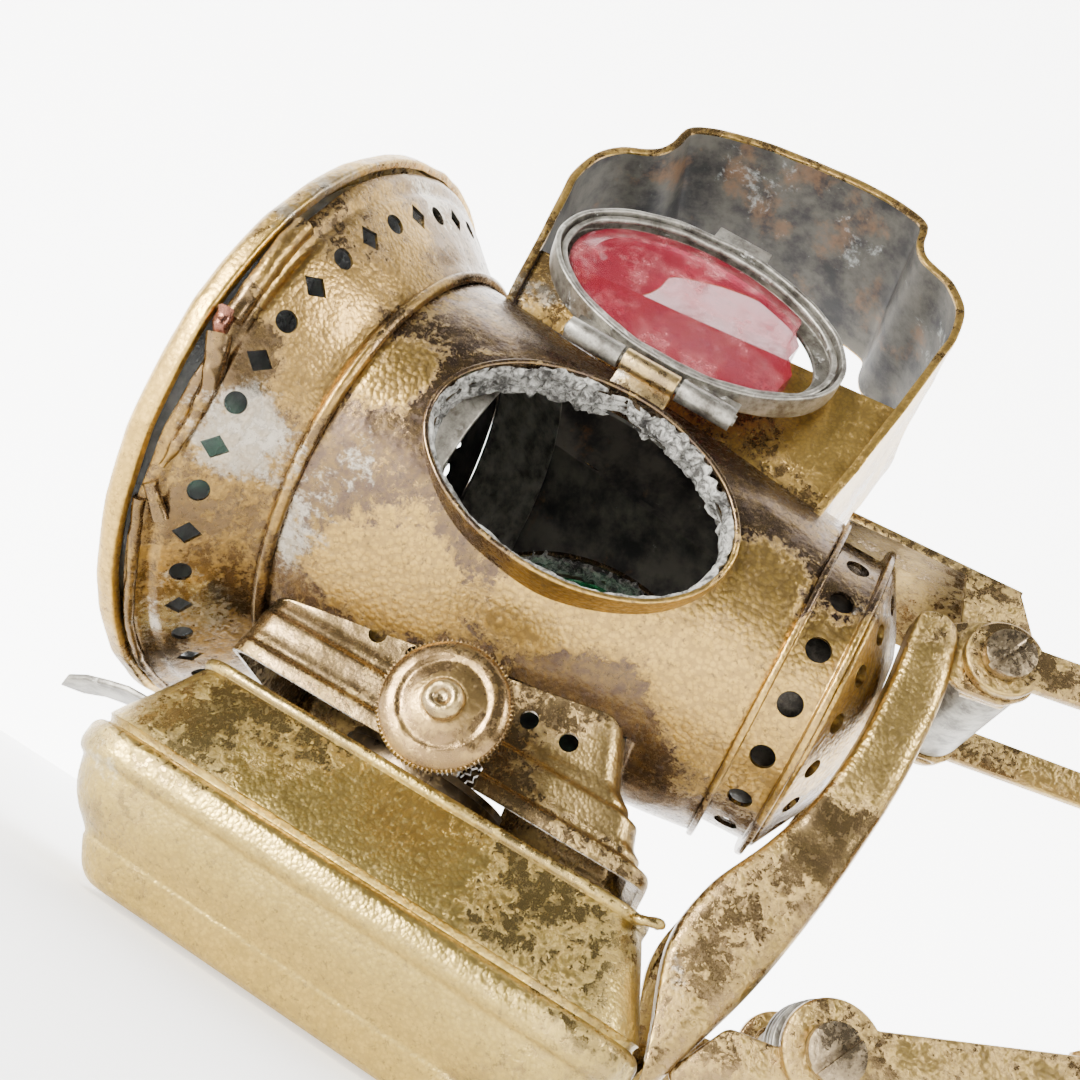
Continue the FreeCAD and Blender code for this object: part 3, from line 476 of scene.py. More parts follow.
def capped_faces(rings, count):
    """The skin over a row of loops, closed at both ends."""
    faces = ring_faces(rings, count, closed_rings=False)
    return faces + [tuple(range(count)), tuple(range((rings - 1) * count, rings * count))]


def lathe(name, outline, material, turns=240, sharp=40.0):
    """An outline of (station, radius) turned about the barrel axis."""
    points = []
    for turn in range(turns):
        angle = 2 * math.pi * turn / turns
        for station, radius in outline:
            points.append((radius * math.cos(angle), station, AXIS_HEIGHT + radius * math.sin(angle)))
    return mesh_object(name, points, ring_faces(turns, len(outline)), material, sharp)


def swept(name, path, section, material, closed=True, sharp=40.0):
    """section(index) gives the loop of points round each step of a path with that many steps."""
    points = []
    for index in range(path):
        points.extend(section(index))
    count = len(points) // path
    faces = ring_faces(path, count) if closed else capped_faces(path, count)
    return mesh_object(name, points, faces, material, sharp)


def around_axis(angle, station, radius):
    """The place at an angle in degrees from port, rising, about the barrel axis."""
    turn = math.radians(angle)
    return Vector((radius * math.cos(turn), station, AXIS_HEIGHT + radius * math.sin(turn)))


def smooth_path(knots, steps):
    """A Catmull-Rom path through knots of any dimension."""
    path = []
    last = len(knots) - 1
    for index in range(last):
        before = Vector(knots[max(index - 1, 0)])
        start = Vector(knots[index])
        end = Vector(knots[index + 1])
        after = Vector(knots[min(index + 2, last)])
        for step in range(steps):
            t = step / steps
            squared = (2 * before - 5 * start + 4 * end - after) * t ** 2
            cubed = (3 * start - before - 3 * end + after) * t ** 3
            path.append(0.5 * (2 * start + (end - before) * t + squared + cubed))
    path.append(Vector(knots[last]))
    return path


def tube_along(name, path, radius, material, around=10, roughen=0.0, sharp=50.0):
    """A round bead along a path; radius and roughen are in mm."""
    def section(index):
        here = path[index]
        along = (path[min(index + 1, len(path) - 1)] - path[max(index - 1, 0)]).normalized()
        side = along.cross(Vector((0, 0, 1))).normalized()
        over = side.cross(along)
        loop = []
        for step in range(around):
            turn = 2 * math.pi * step / around
            reach = radius(index / (len(path) - 1)) if callable(radius) else radius
            spot = here + side * math.cos(turn) * reach + over * math.sin(turn) * reach
            loop.append(spot + (spot - here).normalized() * wander(spot, 1.6, roughen, 3.0))
        return loop
    return swept(name, len(path), section, material, closed=False, sharp=sharp)


def copies_group(material):
    """Sets copies of a piece evenly round its own Y axis."""
    group = bpy.data.node_groups.new("ring_of_copies", "GeometryNodeTree")
    group.interface.new_socket("Piece", in_out="INPUT", socket_type="NodeSocketGeometry")
    for label, kind in (("Count", "NodeSocketInt"), ("First Angle", "NodeSocketFloat")):
        group.interface.new_socket(label, in_out="INPUT", socket_type=kind)
    group.interface.new_socket("Copies", in_out="OUTPUT", socket_type="NodeSocketGeometry")
    nodes_made = group.nodes
    join = group.links.new
    given = nodes_made.new("NodeGroupInput")
    places = nodes_made.new("GeometryNodePoints")
    join(given.outputs["Count"], places.inputs["Count"])
    number = nodes_made.new("GeometryNodeInputIndex")
    step = nodes_made.new("ShaderNodeMath")
    step.operation = "DIVIDE"
    step.inputs[0].default_value = 2 * math.pi
    join(given.outputs["Count"], step.inputs[1])
    turn = nodes_made.new("ShaderNodeMath")
    turn.operation = "MULTIPLY_ADD"
    join(number.outputs[0], turn.inputs[0])
    join(step.outputs[0], turn.inputs[1])
    join(given.outputs["First Angle"], turn.inputs[2])
    spin = nodes_made.new("ShaderNodeCombineXYZ")
    join(turn.outputs[0], spin.inputs["Y"])
    copies = nodes_made.new("GeometryNodeInstanceOnPoints")
    join(places.outputs[0], copies.inputs["Points"])
    join(given.outputs["Piece"], copies.inputs["Instance"])
    join(spin.outputs[0], copies.inputs["Rotation"])
    real = nodes_made.new("GeometryNodeRealizeInstances")
    join(copies.outputs[0], real.inputs[0])
    paint = nodes_made.new("GeometryNodeSetMaterial")
    paint.inputs["Material"].default_value = material
    join(real.outputs[0], paint.inputs["Geometry"])
    out = nodes_made.new("NodeGroupOutput")
    join(paint.outputs[0], out.inputs[0])
    return group


def ring_of_copies(item, count, first=0.0, place=None):
    """Repeats item round its Y axis, rising from +X by first degrees, then sets the ring in place."""
    group = copies_group(item.data.materials[0])
    modifier = item.modifiers.new("ring", "NODES")
    modifier.node_group = group
    sockets = [socket for socket in group.interface.items_tree if socket.in_out == "INPUT"]
    named = {socket.name: socket.identifier for socket in sockets}
    modifier[named["Count"]] = count
    modifier[named["First Angle"]] = -math.radians(first)
    settle(item)
    item.data.transform(place or Matrix.Translation((0, 0, AXIS_HEIGHT * MM)))
    return item


def block(name, corners, depth, material):
    """A straight-sided block: a flat outline pushed along depth."""
    count = len(corners)
    points = [Vector(corner) for corner in corners] + [Vector(corner) + Vector(depth) for corner in corners]
    faces = [tuple(range(count)), tuple(range(2 * count - 1, count - 1, -1))]
    for index in range(count):
        beside = (index + 1) % count
        faces.append((index, beside, count + beside, count + index))
    return mesh_object(name, points, faces, material)


def rod(name, start, end, radius, material, sides=28):
    start, end = Vector(start), Vector(end)
    turn = (end - start).to_track_quat("Z", "Y")
    circle = []
    for side in range(sides):
        angle = 2 * math.pi * side / sides
        circle.append(start + turn @ Vector((radius * math.cos(angle), radius * math.sin(angle), 0)))
    return block(name, circle, end - start, material)


# ---------------------------------------------------------------- finishes of the record's slots

# Tint of the silvery patches: painted highlight, partly rubbed wear.
SHEEN_TINT = (0.42, 0.385, 0.32)

# gold, brown and sheen tints (the sheen tint colours painted highlight and rubbed patches), shares of gold and
# sheen, grain size and depth in mm, then any soot
BRASSES = {
    "rim_brass": ((0.56, 0.36, 0.09), (0.22, 0.135, 0.045), SHEEN_TINT, 0.75, 0.06, 0.6, 0.05),
    "bell_brass": ((0.36, 0.225, 0.065), (0.115, 0.075, 0.040), SHEEN_TINT, 0.50, 0.02, 0.55, 0.07),
    "barrel_brass": ((0.43, 0.275, 0.075), (0.088, 0.060, 0.044), SHEEN_TINT, 0.28, 0.0, 0.65, 0.11),
    "hood_brass": ((0.55, 0.35, 0.09), (0.20, 0.125, 0.05), SHEEN_TINT, 0.62, 0.02, 0.5, 0.05),
    "gallery_brass": ((0.34, 0.235, 0.085), (0.15, 0.10, 0.048), SHEEN_TINT, 0.50, 0.0, 0.45, 0.06),
    "font_brass": ((0.50, 0.36, 0.10), (0.27, 0.195, 0.075), (0.60, 0.53, 0.36), 0.66, 0.02, 0.48, 0.09),
    "burner_brass": ((0.28, 0.19, 0.08), (0.10, 0.07, 0.04), SHEEN_TINT, 0.4, -0.05, 0.4, 0.05, 0.3),
    "knob_brass": ((0.36, 0.235, 0.085), (0.19, 0.12, 0.055), SHEEN_TINT, 0.45, -0.05, 0.35, 0.03),
    "bracket_brass": ((0.42, 0.29, 0.09), (0.21, 0.14, 0.065), SHEEN_TINT, 0.60, 0.0, 0.50, 0.08),
    "bolt_brass": ((0.34, 0.26, 0.15), (0.16, 0.12, 0.075), (0.42, 0.39, 0.32), 0.5, 0.12, 0.4, 0.04),
    "hinge_brass": ((0.52, 0.37, 0.15), (0.24, 0.17, 0.09), (0.55, 0.52, 0.45), 0.6, 0.12, 0.4, 0.03),
}
# kind, centre, reach, softness and strength of each worn or stained place and of each painted highlight, in mm;
# sheen spots paint silvery highlights
WORN = {
    "rim_brass": (("gold", (34, -44, 40), 30, 25, 0.25), ("sheen", (40, -43, 78), 16, 12, 0.16)),
    "bell_brass": (("sheen", (30, -32, 50), 12, 11, 0.16), ("sheen", (13, -36, 30), 14, 12, 0.20),
                   ("sheen", (33, -39, 47), 12, 10, 0.16), ("sheen", (27, -40, 94), 14, 12, 0.15),
                   ("gold", (36, -35, 62), 14, 11, 0.16), ("gold", (30, -36, 80), 12, 10, 0.10),
                   ("brown", (38, -40, 55), 9, 6, 0.20), ("brown", (20, -34, 92), 16, 12, 0.14)),
    # Painted highlight: the sheen spots and the gold spots in a line along the lower port side paint the
    # barrel's highlight streak.
    "barrel_brass": (("sheen", (24, -27, 45), 11, 10, 0.24), ("sheen", (28, -24, 54), 8, 7, 0.12),
                     ("gold", (30, -26, 65), 7, 4, 0.20), ("gold", (22, -14, 44), 13, 10, 0.22),
                     ("gold", (23, 23, 66), 8, 6, 0.20), ("gold", (21, 14, 53), 15, 11, 0.22),
                     ("gold", (24, 2, 46), 12, 9, 0.16), ("brown", (19, -15, 85), 15, 12, 0.25),
                     ("brown", (17, 13, 42), 13, 9, 0.26), ("brown", (27, -14, 66), 10, 7, 0.18),
                     ("gold", (17, 31, 53), 16, 12, 0.20), ("gold", (15, 39, 61), 14, 10, 0.22),
                     ("sheen", (19, 34, 71), 7, 5, 0.16)),
    "hood_brass": (("sheen", (16, -23, 94), 9, 7, 0.16), ("gold", (16, 25, 96), 14, 10, 0.25)),
    "gallery_brass": (("gold", (15, 17, 38), 9, 7, 0.16), ("brown", (16, -20, 38), 9, 7, 0.12)),
    # Painted highlight: the broad gold spot low on the port side paints the highlight along the lower moulding,
    # and the sheen spot is a painted highlight too.
    "font_brass": (("gold", (22, 0, 9), 27, 18, 0.18), ("brown", (19, -14, 23), 17, 12, 0.08),
                   ("brown", (20, 14, 23), 18, 12, 0.05), ("sheen", (21, -32, 11), 9, 7, 0.14)),
    "knob_brass": (("gold", (29, 0.8, 34.1), 4, 2.5, 0.5), ("brown", (27, -4, 37), 4, 3, 0.12)),
    "bracket_brass": (("sheen", (16.4, 34, 24), 6, 5, 0.16), ("brown", (16.4, 42, 44), 6, 5, 0.16),
                      ("gold", (16.4, 44, 60), 14, 10, 0.12)),
}
FINISHES = {name: aged_brass(name, *look, spots=WORN.get(name, ())) for name, look in BRASSES.items()}
FINISHES["dull_nickel"] = worn_nickel("dull_nickel", (0.30, 0.285, 0.245), (0.075, 0.066, 0.055), 0.20)
FINISHES["clear_glass"] = clear_glass("clear_glass")
FINISHES["red_glass"] = coloured_glass("red_glass", (0.20, 0.007, 0.020), (0.42, 0.15, 0.15), 0.30)
FINISHES["green_glass"] = coloured_glass("green_glass", (0.015, 0.24, 0.09), (0.28, 0.55, 0.36), 0.30)
FINISHES["wick_cotton"] = wick_cotton("wick_cotton")
SOOT = sooty_sheet("soot", spots=(("bloom", (9, -6, 134), 10, 9, 0.16), ("bloom", (5, 10, 133), 11, 9, 0.13),
                                  ("bloom", (9, 28, 121), 9, 8, 0.15), ("rust", (9, 2, 134), 20, 14, 0.10)))
CEMENT = chalk_cement("cement")
COPPER = aged_brass("copper_scar", (0.34, 0.13, 0.08), (0.15, 0.065, 0.045), SHEEN_TINT, 0.6, -0.1, 0.3, 0.04)
LINING = worn_nickel("lining", (0.33, 0.31, 0.26), (0.10, 0.088, 0.07), 0.08)
# Painted shade: a near-black lining for the bell's inside and the draught ring.
PAINTED_SHADE_LINING = worn_nickel("painted_shade_lining", (0.07, 0.062, 0.05), (0.018, 0.016, 0.014), 0.0)

record = frame["record"]
SLOT_OF = {part["node"]: part["material_slot"] for part in record["subparts"]}
BODY_OF = {node: body for body, members in record["behaviour"]["bodies"].items() for node in members}


def stand_in(item, *old):
    """Attaches a new piece that takes the place of old to the body of the first of them, and hides old."""
    return piece(item, BODY_OF[old[0]], SLOT_OF[old[0]], *old)


# ---------------------------------------------------------------- bell, rim and front glass

WALL = 0.7
SIDES = ((PORT, "port"), (STARBOARD, "starboard"))
BELL_HOLES = 21                      # of each shape
FIRST_DIAMOND = 37.6                 # degrees above port
TORN_ANGLE, TORN_SPREAD = -14, 22    # middle and spread of the torn part of the lip, degrees


def faces_axis(centre, normal):
    return normal.x * centre.x + normal.z * (centre.z - AXIS_HEIGHT) < -0.15 * abs(centre.z - AXIS_HEIGHT)


def away_from_axis(place):
    return Vector((place.x, 0, place.z - AXIS_HEIGHT)).normalized()


def make_bell():
    outer = [(-41.7, 41.2), (-40.4, 40.7), (-39.6, 39.3), (-38.6, 39.1), (-33.4, 34.3), (-31.6, 32.5),
             (-30.0, 31.4)]
    inner = [(station, radius - WALL) for station, radius in reversed(outer)]
    bell = lathe("bell_sheet", soft_outline(outer + inner, 0.6, 3, 0.8), FINISHES["bell_brass"], 420)
    for vertex in bell.data.vertices:
        place = vertex.co / MM
        angle = math.degrees(math.atan2(place.z - AXIS_HEIGHT, place.x))
        lip = max(0.0, (-37.6 - place.y) / 4.1)
        torn = math.exp(-((angle - TORN_ANGLE) / TORN_SPREAD) ** 2)
        radial = away_from_axis(place)
        pressed = lip ** 1.5 * torn * (1.2 + wander(place, 6, 1.2, 2.0))
        place -= radial * pressed
        place.y += lip * torn * 0.5
        place += radial * (wander(place, 13, 0.45, 1.0) + wander(place, 4, 0.12, 5.0) - 0.25)
        vertex.co = place * MM
    step = 360 / (2 * BELL_HOLES)
    slope = math.atan2(4.8, 5.2)
    out = Vector((math.cos(slope), math.sin(slope), 0))
    down = Vector((-math.sin(slope), math.cos(slope), 0))
    seat = Vector((37.1, -36.6, 0)) - out * 3
    ahead = Vector((0, 0, 1))
    diamond = [seat + down * 1.75, seat + ahead * 1.45, seat - down * 1.75, seat - ahead * 1.45]
    diamonds = block("diamond_punch", diamond, out * 6, FINISHES["bell_brass"])
    rounds = rod("round_punch", seat, seat + out * 6, 1.32, FINISHES["bell_brass"])
    diamond_ring = ring_of_copies(diamonds, BELL_HOLES, FIRST_DIAMOND)
    cut_away(bell, diamond_ring, ring_of_copies(rounds, BELL_HOLES, FIRST_DIAMOND + step))
    finish_mesh(bell, 38)
    # The inner faces take the near-black lining: painted shade, so the holes read dark.
    two_faced(bell, PAINTED_SHADE_LINING, faces_axis)
    stand_in(bell, "bell")


def make_rim():
    corners = [(-45.4, 38.3), (-45.4, 41.3, 0.9), (-44.2, 42.5, 0.9), (-41.9, 42.5, 0.5), (-41.9, 41.25),
               (-44.2, 41.25), (-44.2, 38.3)]
    rim = lathe("front_rim_band", soft_outline(corners, 0.25, 4, 1.0), FINISHES["rim_brass"], 320)
    for vertex in rim.data.vertices:
        place = vertex.co / MM
        radial = away_from_axis(place)
        vertex.co -= radial * (abs(wander(place, 9, 0.5, 8.0)) + abs(wander(place, 3, 0.10, 9.0))) * MM
    stand_in(rim, "front_rim")
    pane = [(-45.15, 0.0), (-45.15, 34.5, 0.4), (-44.2, 37.7, 0.3), (-44.2, 39.1), (-41.4, 39.1),
            (-41.4, 0.0)]
    stand_in(lathe("front_pane", soft_outline(pane, 0.15, 3, 4.0), FINISHES["clear_glass"], 160), "front_glass")
    bead = [(-29.95, 30.96), (-29.95, 31.9), (-29.2, 32.25, 0.8), (-28.5, 31.6), (-28.5, 30.8)]
    stand_in(lathe("barrel_bead", soft_outline(bead, 0.3, 4), FINISHES["bell_brass"], 240), "barrel_joint_ring")


def make_torn_lip():
    """The rolled edge of the bell, torn loose on the port side: one long strip, a curl and a short stub."""
    def run(knots, count):
        path = smooth_path([around_axis(*knot) for knot in knots], count)
        return [spot + Vector((wander(spot, 6, 0.25, 4.0), wander(spot, 6, 0.25, 6.0), 0)) for spot in path]
    brass = FINISHES["bell_brass"]
    pieces = (
        ("torn_strip", ((9.5, -40.7, 40.9), (0, -40.2, 41.1), (-11, -39.8, 40.9)),
         lambda t: 1.35 - 0.15 * t, brass, 0.16),
        ("torn_curl", ((-10.5, -40.4, 41.3), (-13.5, -40.0, 41.6), (-17, -39.4, 40.6)),
         lambda t: 1.15 - 0.5 * t, COPPER, 0.7),
        ("torn_flap", ((-14, -40.0, 41.2), (-21, -38.7, 40.3), (-29, -38.9, 39.8), (-37, -40.2, 40.0)),
         lambda t: 1.5 - 1.1 * t, brass, 0.30),
        ("torn_stub", ((-40, -40.6, 40.6), (-43, -39.3, 40.2), (-45.5, -38.3, 40.0)),
         lambda t: 0.85, brass, 0.2),
        ("lip_bead", ((-43, -41.1, 40.9), (-54, -40.6, 40.7), (-66, -40.8, 40.8), (-80, -41.2, 41.0),
                      (-96, -41.3, 41.1)),
         lambda t: 0.75 - 0.2 * t, brass, 0.15))
    for name, knots, radius, finish, rough in pieces:
        piece(tube_along(name, run(knots, 14), radius, finish, 14, roughen=rough), "lamp", "bell_brass")


# ---------------------------------------------------------------- barrel, windows and doors

BARREL_FRONT, BARREL_REAR = -29.9, 28.9
BARREL_WIDE, BARREL_NARROW = 30.9, 22.3
BARREL_FALL, BARREL_LENGTH = 8.6, 58.8
TAPER = math.atan2(BARREL_WIDE - BARREL_NARROW, BARREL_REAR - BARREL_FRONT)


def barrel_radius(station):
    return BARREL_WIDE - (station - BARREL_FRONT) * BARREL_FALL / BARREL_LENGTH


def barrel_core(material):
    """The room that the barrel takes up, for cutting away whatever runs into it."""
    cone = [(-29.9, 30.92), (28.9, 22.32), (28.9, 0), (-29.9, 0)]
    return lathe("barrel_core", soft_outline(cone, 0, 1, 60), material, 160)


def window_place(side):
    outward = Vector((side * math.cos(TAPER), math.sin(TAPER), 0))
    along = Vector((-math.sin(TAPER), side * math.cos(TAPER), 0))
    upward = outward.cross(along)
    turn = Matrix((along, upward, outward)).transposed().to_4x4()
    return Matrix.Translation((side * barrel_radius(0), 0, AXIS_HEIGHT)) @ turn


HINGE = Vector((0, 17.0, 1.0))
DOOR_OPEN = 196                      # degrees
OPENING = Matrix.Rotation(math.radians(-DOOR_OPEN), 4, "X")
SWING = Matrix.Translation(HINGE) @ OPENING @ Matrix.Translation(-HINGE)
WINDOW, FLANGE, DOOR, GLASS = (18.6, 11.9), (19.8, 13.1), (21.0, 14.3), (18.7, 12.0)


def oval(place, half, out, steps=96):
    turns = [2 * math.pi * step / steps for step in range(steps)]
    return [place @ Vector((half[0] * math.cos(turn), half[1] * math.sin(turn), out)) for turn in turns]


def oval_ring(name, place, half, outline, material, rough=0.0, size=3.0, seed=0.0, steps=180):
    """outline lists (offset from the oval, height outwards) round the ring's section."""
    def section(index):
        turn = 2 * math.pi * index / steps
        loop = []
        for offset, out in outline:
            spot = Vector(((half[0] + offset) * math.cos(turn), (half[1] + offset) * math.sin(turn), out))
            push = Vector((wander(spot, size, rough, seed), wander(spot, size, rough, seed + 5),
                           wander(spot, size, rough, seed + 9)))
            loop.append(place @ (spot + push))
        return loop
    return swept(name, steps, section, material)


def make_barrel():
    outer = [(BARREL_FRONT, barrel_radius(BARREL_FRONT)), (BARREL_REAR, barrel_radius(BARREL_REAR))]
    inner = [(station, radius - WALL) for station, radius in reversed(outer)]
    barrel = lathe("barrel_sheet", soft_outline(outer + inner, 0.1, 2, 1.6), FINISHES["barrel_brass"], 300)
    brass = FINISHES["barrel_brass"]
    cutters = []
    for side in (PORT, STARBOARD):
        place = window_place(side)
        depth = place.to_3x3() @ Vector((0, 0, 20))
        cutters.append(block("window_punch", oval(place, WINDOW, -14), depth, brass))
    for half, front, rear, low, high in ((14.4, -22.35, 23.85, 64.4, 124.4), (13, -22, 18, 24.4, 64.4)):
        foot = [(-half, front, low), (half, front, low), (half, rear, low), (-half, rear, low)]
        cutters.append(block("opening_punch", foot, (0, 0, high - low), brass))
    cut_away(barrel, *cutters)
    finish_mesh(barrel, 38)
    dented(barrel, 12, 0.30, 2.0)
    dented(barrel, 3.5, 0.07, 7.0)
    two_faced(barrel, SOOT, faces_axis)
    stand_in(barrel, "barrel")
    front, rear = BARREL_FRONT + 0.6, BARREL_FRONT + 13.9
    cone = [(front, 30.1), (rear, 24.2), (rear, 23.7), (front, 29.6)]
    reflector = lathe("reflector_sheet", soft_outline(cone, 0.15, 2, 1.5), LINING, 220)
    dented(reflector, 6, 0.35, 3.0, inward=True)
    stand_in(reflector, "reflector_cone")


def make_windows():
    for side, name in SIDES:
        place = window_place(side)
        edge = soft_outline([(0, -4.4), (0, 2.0, 0.35), (-WALL, 2.0, 0.35), (-WALL, -4.4)], 0.1, 4, 1.0)
        ring = oval_ring(f"window_edge_{name}", place, FLANGE, edge, FINISHES["barrel_brass"], 0.12, 6, side)
        stand_in(ring, f"window_flange_{name}")
        blob = soft_outline([(-0.5, -4.0), (-0.5, 1.6, 0.3), (-1.1, 1.3, 0.4), (-1.5, -0.6, 0.5),
                             (-1.25, -4.0)],
                            0.2, 3, 0.35)
        bedding = oval_ring(f"window_bedding_{name}", place, FLANGE, blob, CEMENT, 0.0, 1.5, 3 + side, 360)
        for vertex in bedding.data.vertices:
            spot = vertex.co / MM
            thick = 0.25 + 0.75 * max(0.0, (spot.z - AXIS_HEIGHT + 3) / 15)
            crumbs = (wander(spot, 1.1, 0.9, 3.0), wander(spot, 1.1, 1.1, 5.0), wander(spot, 0.8, 0.9, 7.0))
            lumps = (wander(spot, 4.5, 1.1, 2.0), wander(spot, 4.5, 1.1, 9.0), wander(spot, 4.5, 1.1, 4.0))
            push = Vector(crumbs) + Vector(lumps)
            vertex.co += push * thick * MM
        piece(bedding, "lamp", "barrel_brass")


def make_doors():
    for side, name in SIDES:
        glass = "red_glass" if side == PORT else "green_glass"
        place = window_place(side)
        if side == PORT:
            place = place @ SWING
        body = f"door_{name}"
        frame_section = [(0, 0.6, 0.3), (0, 4.2, 0.5), (-3.2, 4.2, 0.2), (-3.2, 3.5), (-WALL, 3.5),
                         (-WALL, 0.6, 0.3)]
        profile = soft_outline(frame_section, 0.12, 4, 0.8)
        ring = oval_ring(f"door_ring_{name}", place, DOOR, profile, FINISHES["dull_nickel"], 0.16, 5, 2 + side)
        stand_in(ring, f"door_frame_{name}")
        wire = soft_outline([(-1.0, 1.1), (-1.0, 2.0), (-1.9, 2.0), (-1.9, 1.1)], 0.4, 4, 0.5)
        spring = oval_ring(f"glass_wire_{name}", place, DOOR, wire, FINISHES["dull_nickel"], 0.18, 4, 6 + side)
        piece(spring, body, "dull_nickel")
        points = []
        around = 120
        layers = ((-2.9, 1.45), (-0.7, 2.15), (-0.1, 2.3), (-0.1, 3.45), (-1.4, 3.47), (-3.3, 4.9))
        for offset, out in layers:
            points.extend(oval(place, (GLASS[0] + offset, GLASS[1] + offset), out, around))
        faces = capped_faces(len(layers), around)
        jewel = mesh_object(f"jewel_{name}", points, faces, FINISHES[glass], 14)
        if side == PORT:
            crack = [(30, 13.0), (14.9, 13.0), (15.3, 8.2), (14.2, 6.4), (14.9, 3.3), (13.5, 0.6),
                     (13.9, -2.6),
                     (12.4, -5.0), (12.6, -8.0), (11.0, -13.0), (30, -13.0)]
            foot = [place @ Vector((across, up, -1)) for across, up in crack]
            depth = place.to_3x3() @ Vector((0.4, 0.5, 8))
            cut_away(jewel, block("crack_punch", foot, depth, FINISHES[glass]))
            finish_mesh(jewel, 14)
        stand_in(jewel, f"door_glass_{name}")


# ---------------------------------------------------------------- vented tail

VENT_HOLES = 18


def make_tail():
    brass = FINISHES["barrel_brass"]
    collar = [(28.92, 21.1), (28.92, 23.0, 0.35), (29.8, 23.0, 0.35), (29.8, 20.4), (35.3, 20.1),
              (35.3, 22.0, 0.35),
              (36.2, 22.0, 0.35), (36.2, 19.4), (30.2, 19.7)]
    band = lathe("vent_band", soft_outline(collar, 0.2, 3, 1.4), brass, 260)
    punch = rod("vent_punch", (17, 32.55, 0), (24, 32.55, 0), 1.5, brass)
    cut_away(band, ring_of_copies(punch, VENT_HOLES, 14))
    finish_mesh(band, 38)
    dented(band, 7, 0.16, 3.0, inward=True)
    stand_in(band, "vent_collar")
    cover = [(36.22, 18.8), (36.22, 20.4, 0.4), (36.82, 20.3, 0.3), (40.6, 13.0, 1.2),
             (41.8, 10.0, 0.8), (41.8, 0.0),
             (41.0, 0.0), (41.0, 9.6), (39.8, 12.4)]
    cap = lathe("tail_cap", soft_outline(cover, 0.2, 4, 1.4), brass, 260)
    slope = math.atan2(7.4, 3.78)
    out = Vector((math.cos(slope), math.sin(slope), 0))
    seat = Vector((17.6, 38.2, 0)) - out * 3
    punch = rod("tail_punch", seat, seat + out * 6, 1.3, brass)
    cut_away(cap, ring_of_copies(punch, VENT_HOLES, -4.9))
    finish_mesh(cap, 38)
    dented(cap, 7, 0.16, 6.0, inward=True)
    stand_in(cap, "tail_cover")
    guide = [(29.4, 17.0), (36.4, 16.4), (36.4, 15.9), (29.4, 16.5)]
    # Its near-black finish is painted shade inside the tail.
    draught = lathe("draught_ring", soft_outline(guide, 0.12, 2, 1.0), PAINTED_SHADE_LINING, 160)
    dented(draught, 5, 0.3, 4.0, inward=True)
    piece(draught, "lamp", "dull_nickel")


# ---------------------------------------------------------------- hood and its neck

MIDDLE = 0.75
HOOD_HALF = ((23.6, 70.0), (26.2, 86.0), (28.6, 101.0), (30.1, 110.5), (30.5, 114.6), (29.3, 119.4),
             (26.4, 122.9),
             (23.1, 124.5), (21.3, 125.6), (20.3, 127.4), (20.0, 129.6), (19.3, 131.2), (17.2, 132.4),
             (12.0, 133.7),
             (6.0, 134.6), (0.0, 134.9))


def hood_path():
    rear = smooth_path([Vector((out, height, 0)) for out, height in HOOD_HALF], 6)
    front = [Vector((-point.x, point.y, 0)) for point in reversed(rear[:-1])]
    return rear + front


def make_hood():
    path = hood_path()
    half = 16.7
    across = [half - 0.10, half - 0.45, half - 1.2, 13, 10, 7, 4, 1.5]
    across = across + [-value for value in reversed(across)]
    points = []
    for index, here in enumerate(path):
        along = (path[min(index + 1, len(path) - 1)] - path[max(index - 1, 0)]).normalized()
        inwards = Vector((-along.y, along.x, 0))
        top = [(value, 0.14 if abs(value) < 15 else 0.0) for value in across]
        under = [(value, 0.94 if abs(value) < 15 else 1.15) for value in reversed(across)]
        loop = top + [(-half, 0.25), (-half, 0.85)] + under + [(half, 0.85), (half, 0.25)]
        for reach, depth in loop:
            place = Vector((reach, MIDDLE + here.x, here.y)) + Vector((0, inwards.x, inwards.y)) * depth
            sag = 0.35 + wander(place, 14, 0.55, 3.0) + wander(place, 5, 0.15, 8.0)
            place += Vector((0, inwards.x, inwards.y)) * max(0.0, sag)
            points.append(place)
    count = len(points) // len(path)
    hood = mesh_object("hood_sheet", points, capped_faces(len(path), count), FINISHES["hood_brass"], 48)
    cut_away(hood, barrel_core(FINISHES["hood_brass"]))
    below = [(-40, -60, 40), (40, -60, 40), (40, 60, 40), (-40, 60, 40)]
    cut_away(hood, block("foot_core", below, (0, 0, 34), FINISHES["hood_brass"]))
    finish_mesh(hood, 48)
    core = Vector((0, MIDDLE, 104))

    def inside(centre, normal):
        return abs(centre.x) < 16.0 and normal.dot(core - Vector((0, centre.y, centre.z))) > 0
    two_faced(hood, SOOT, inside)
    stand_in(hood, "hood")


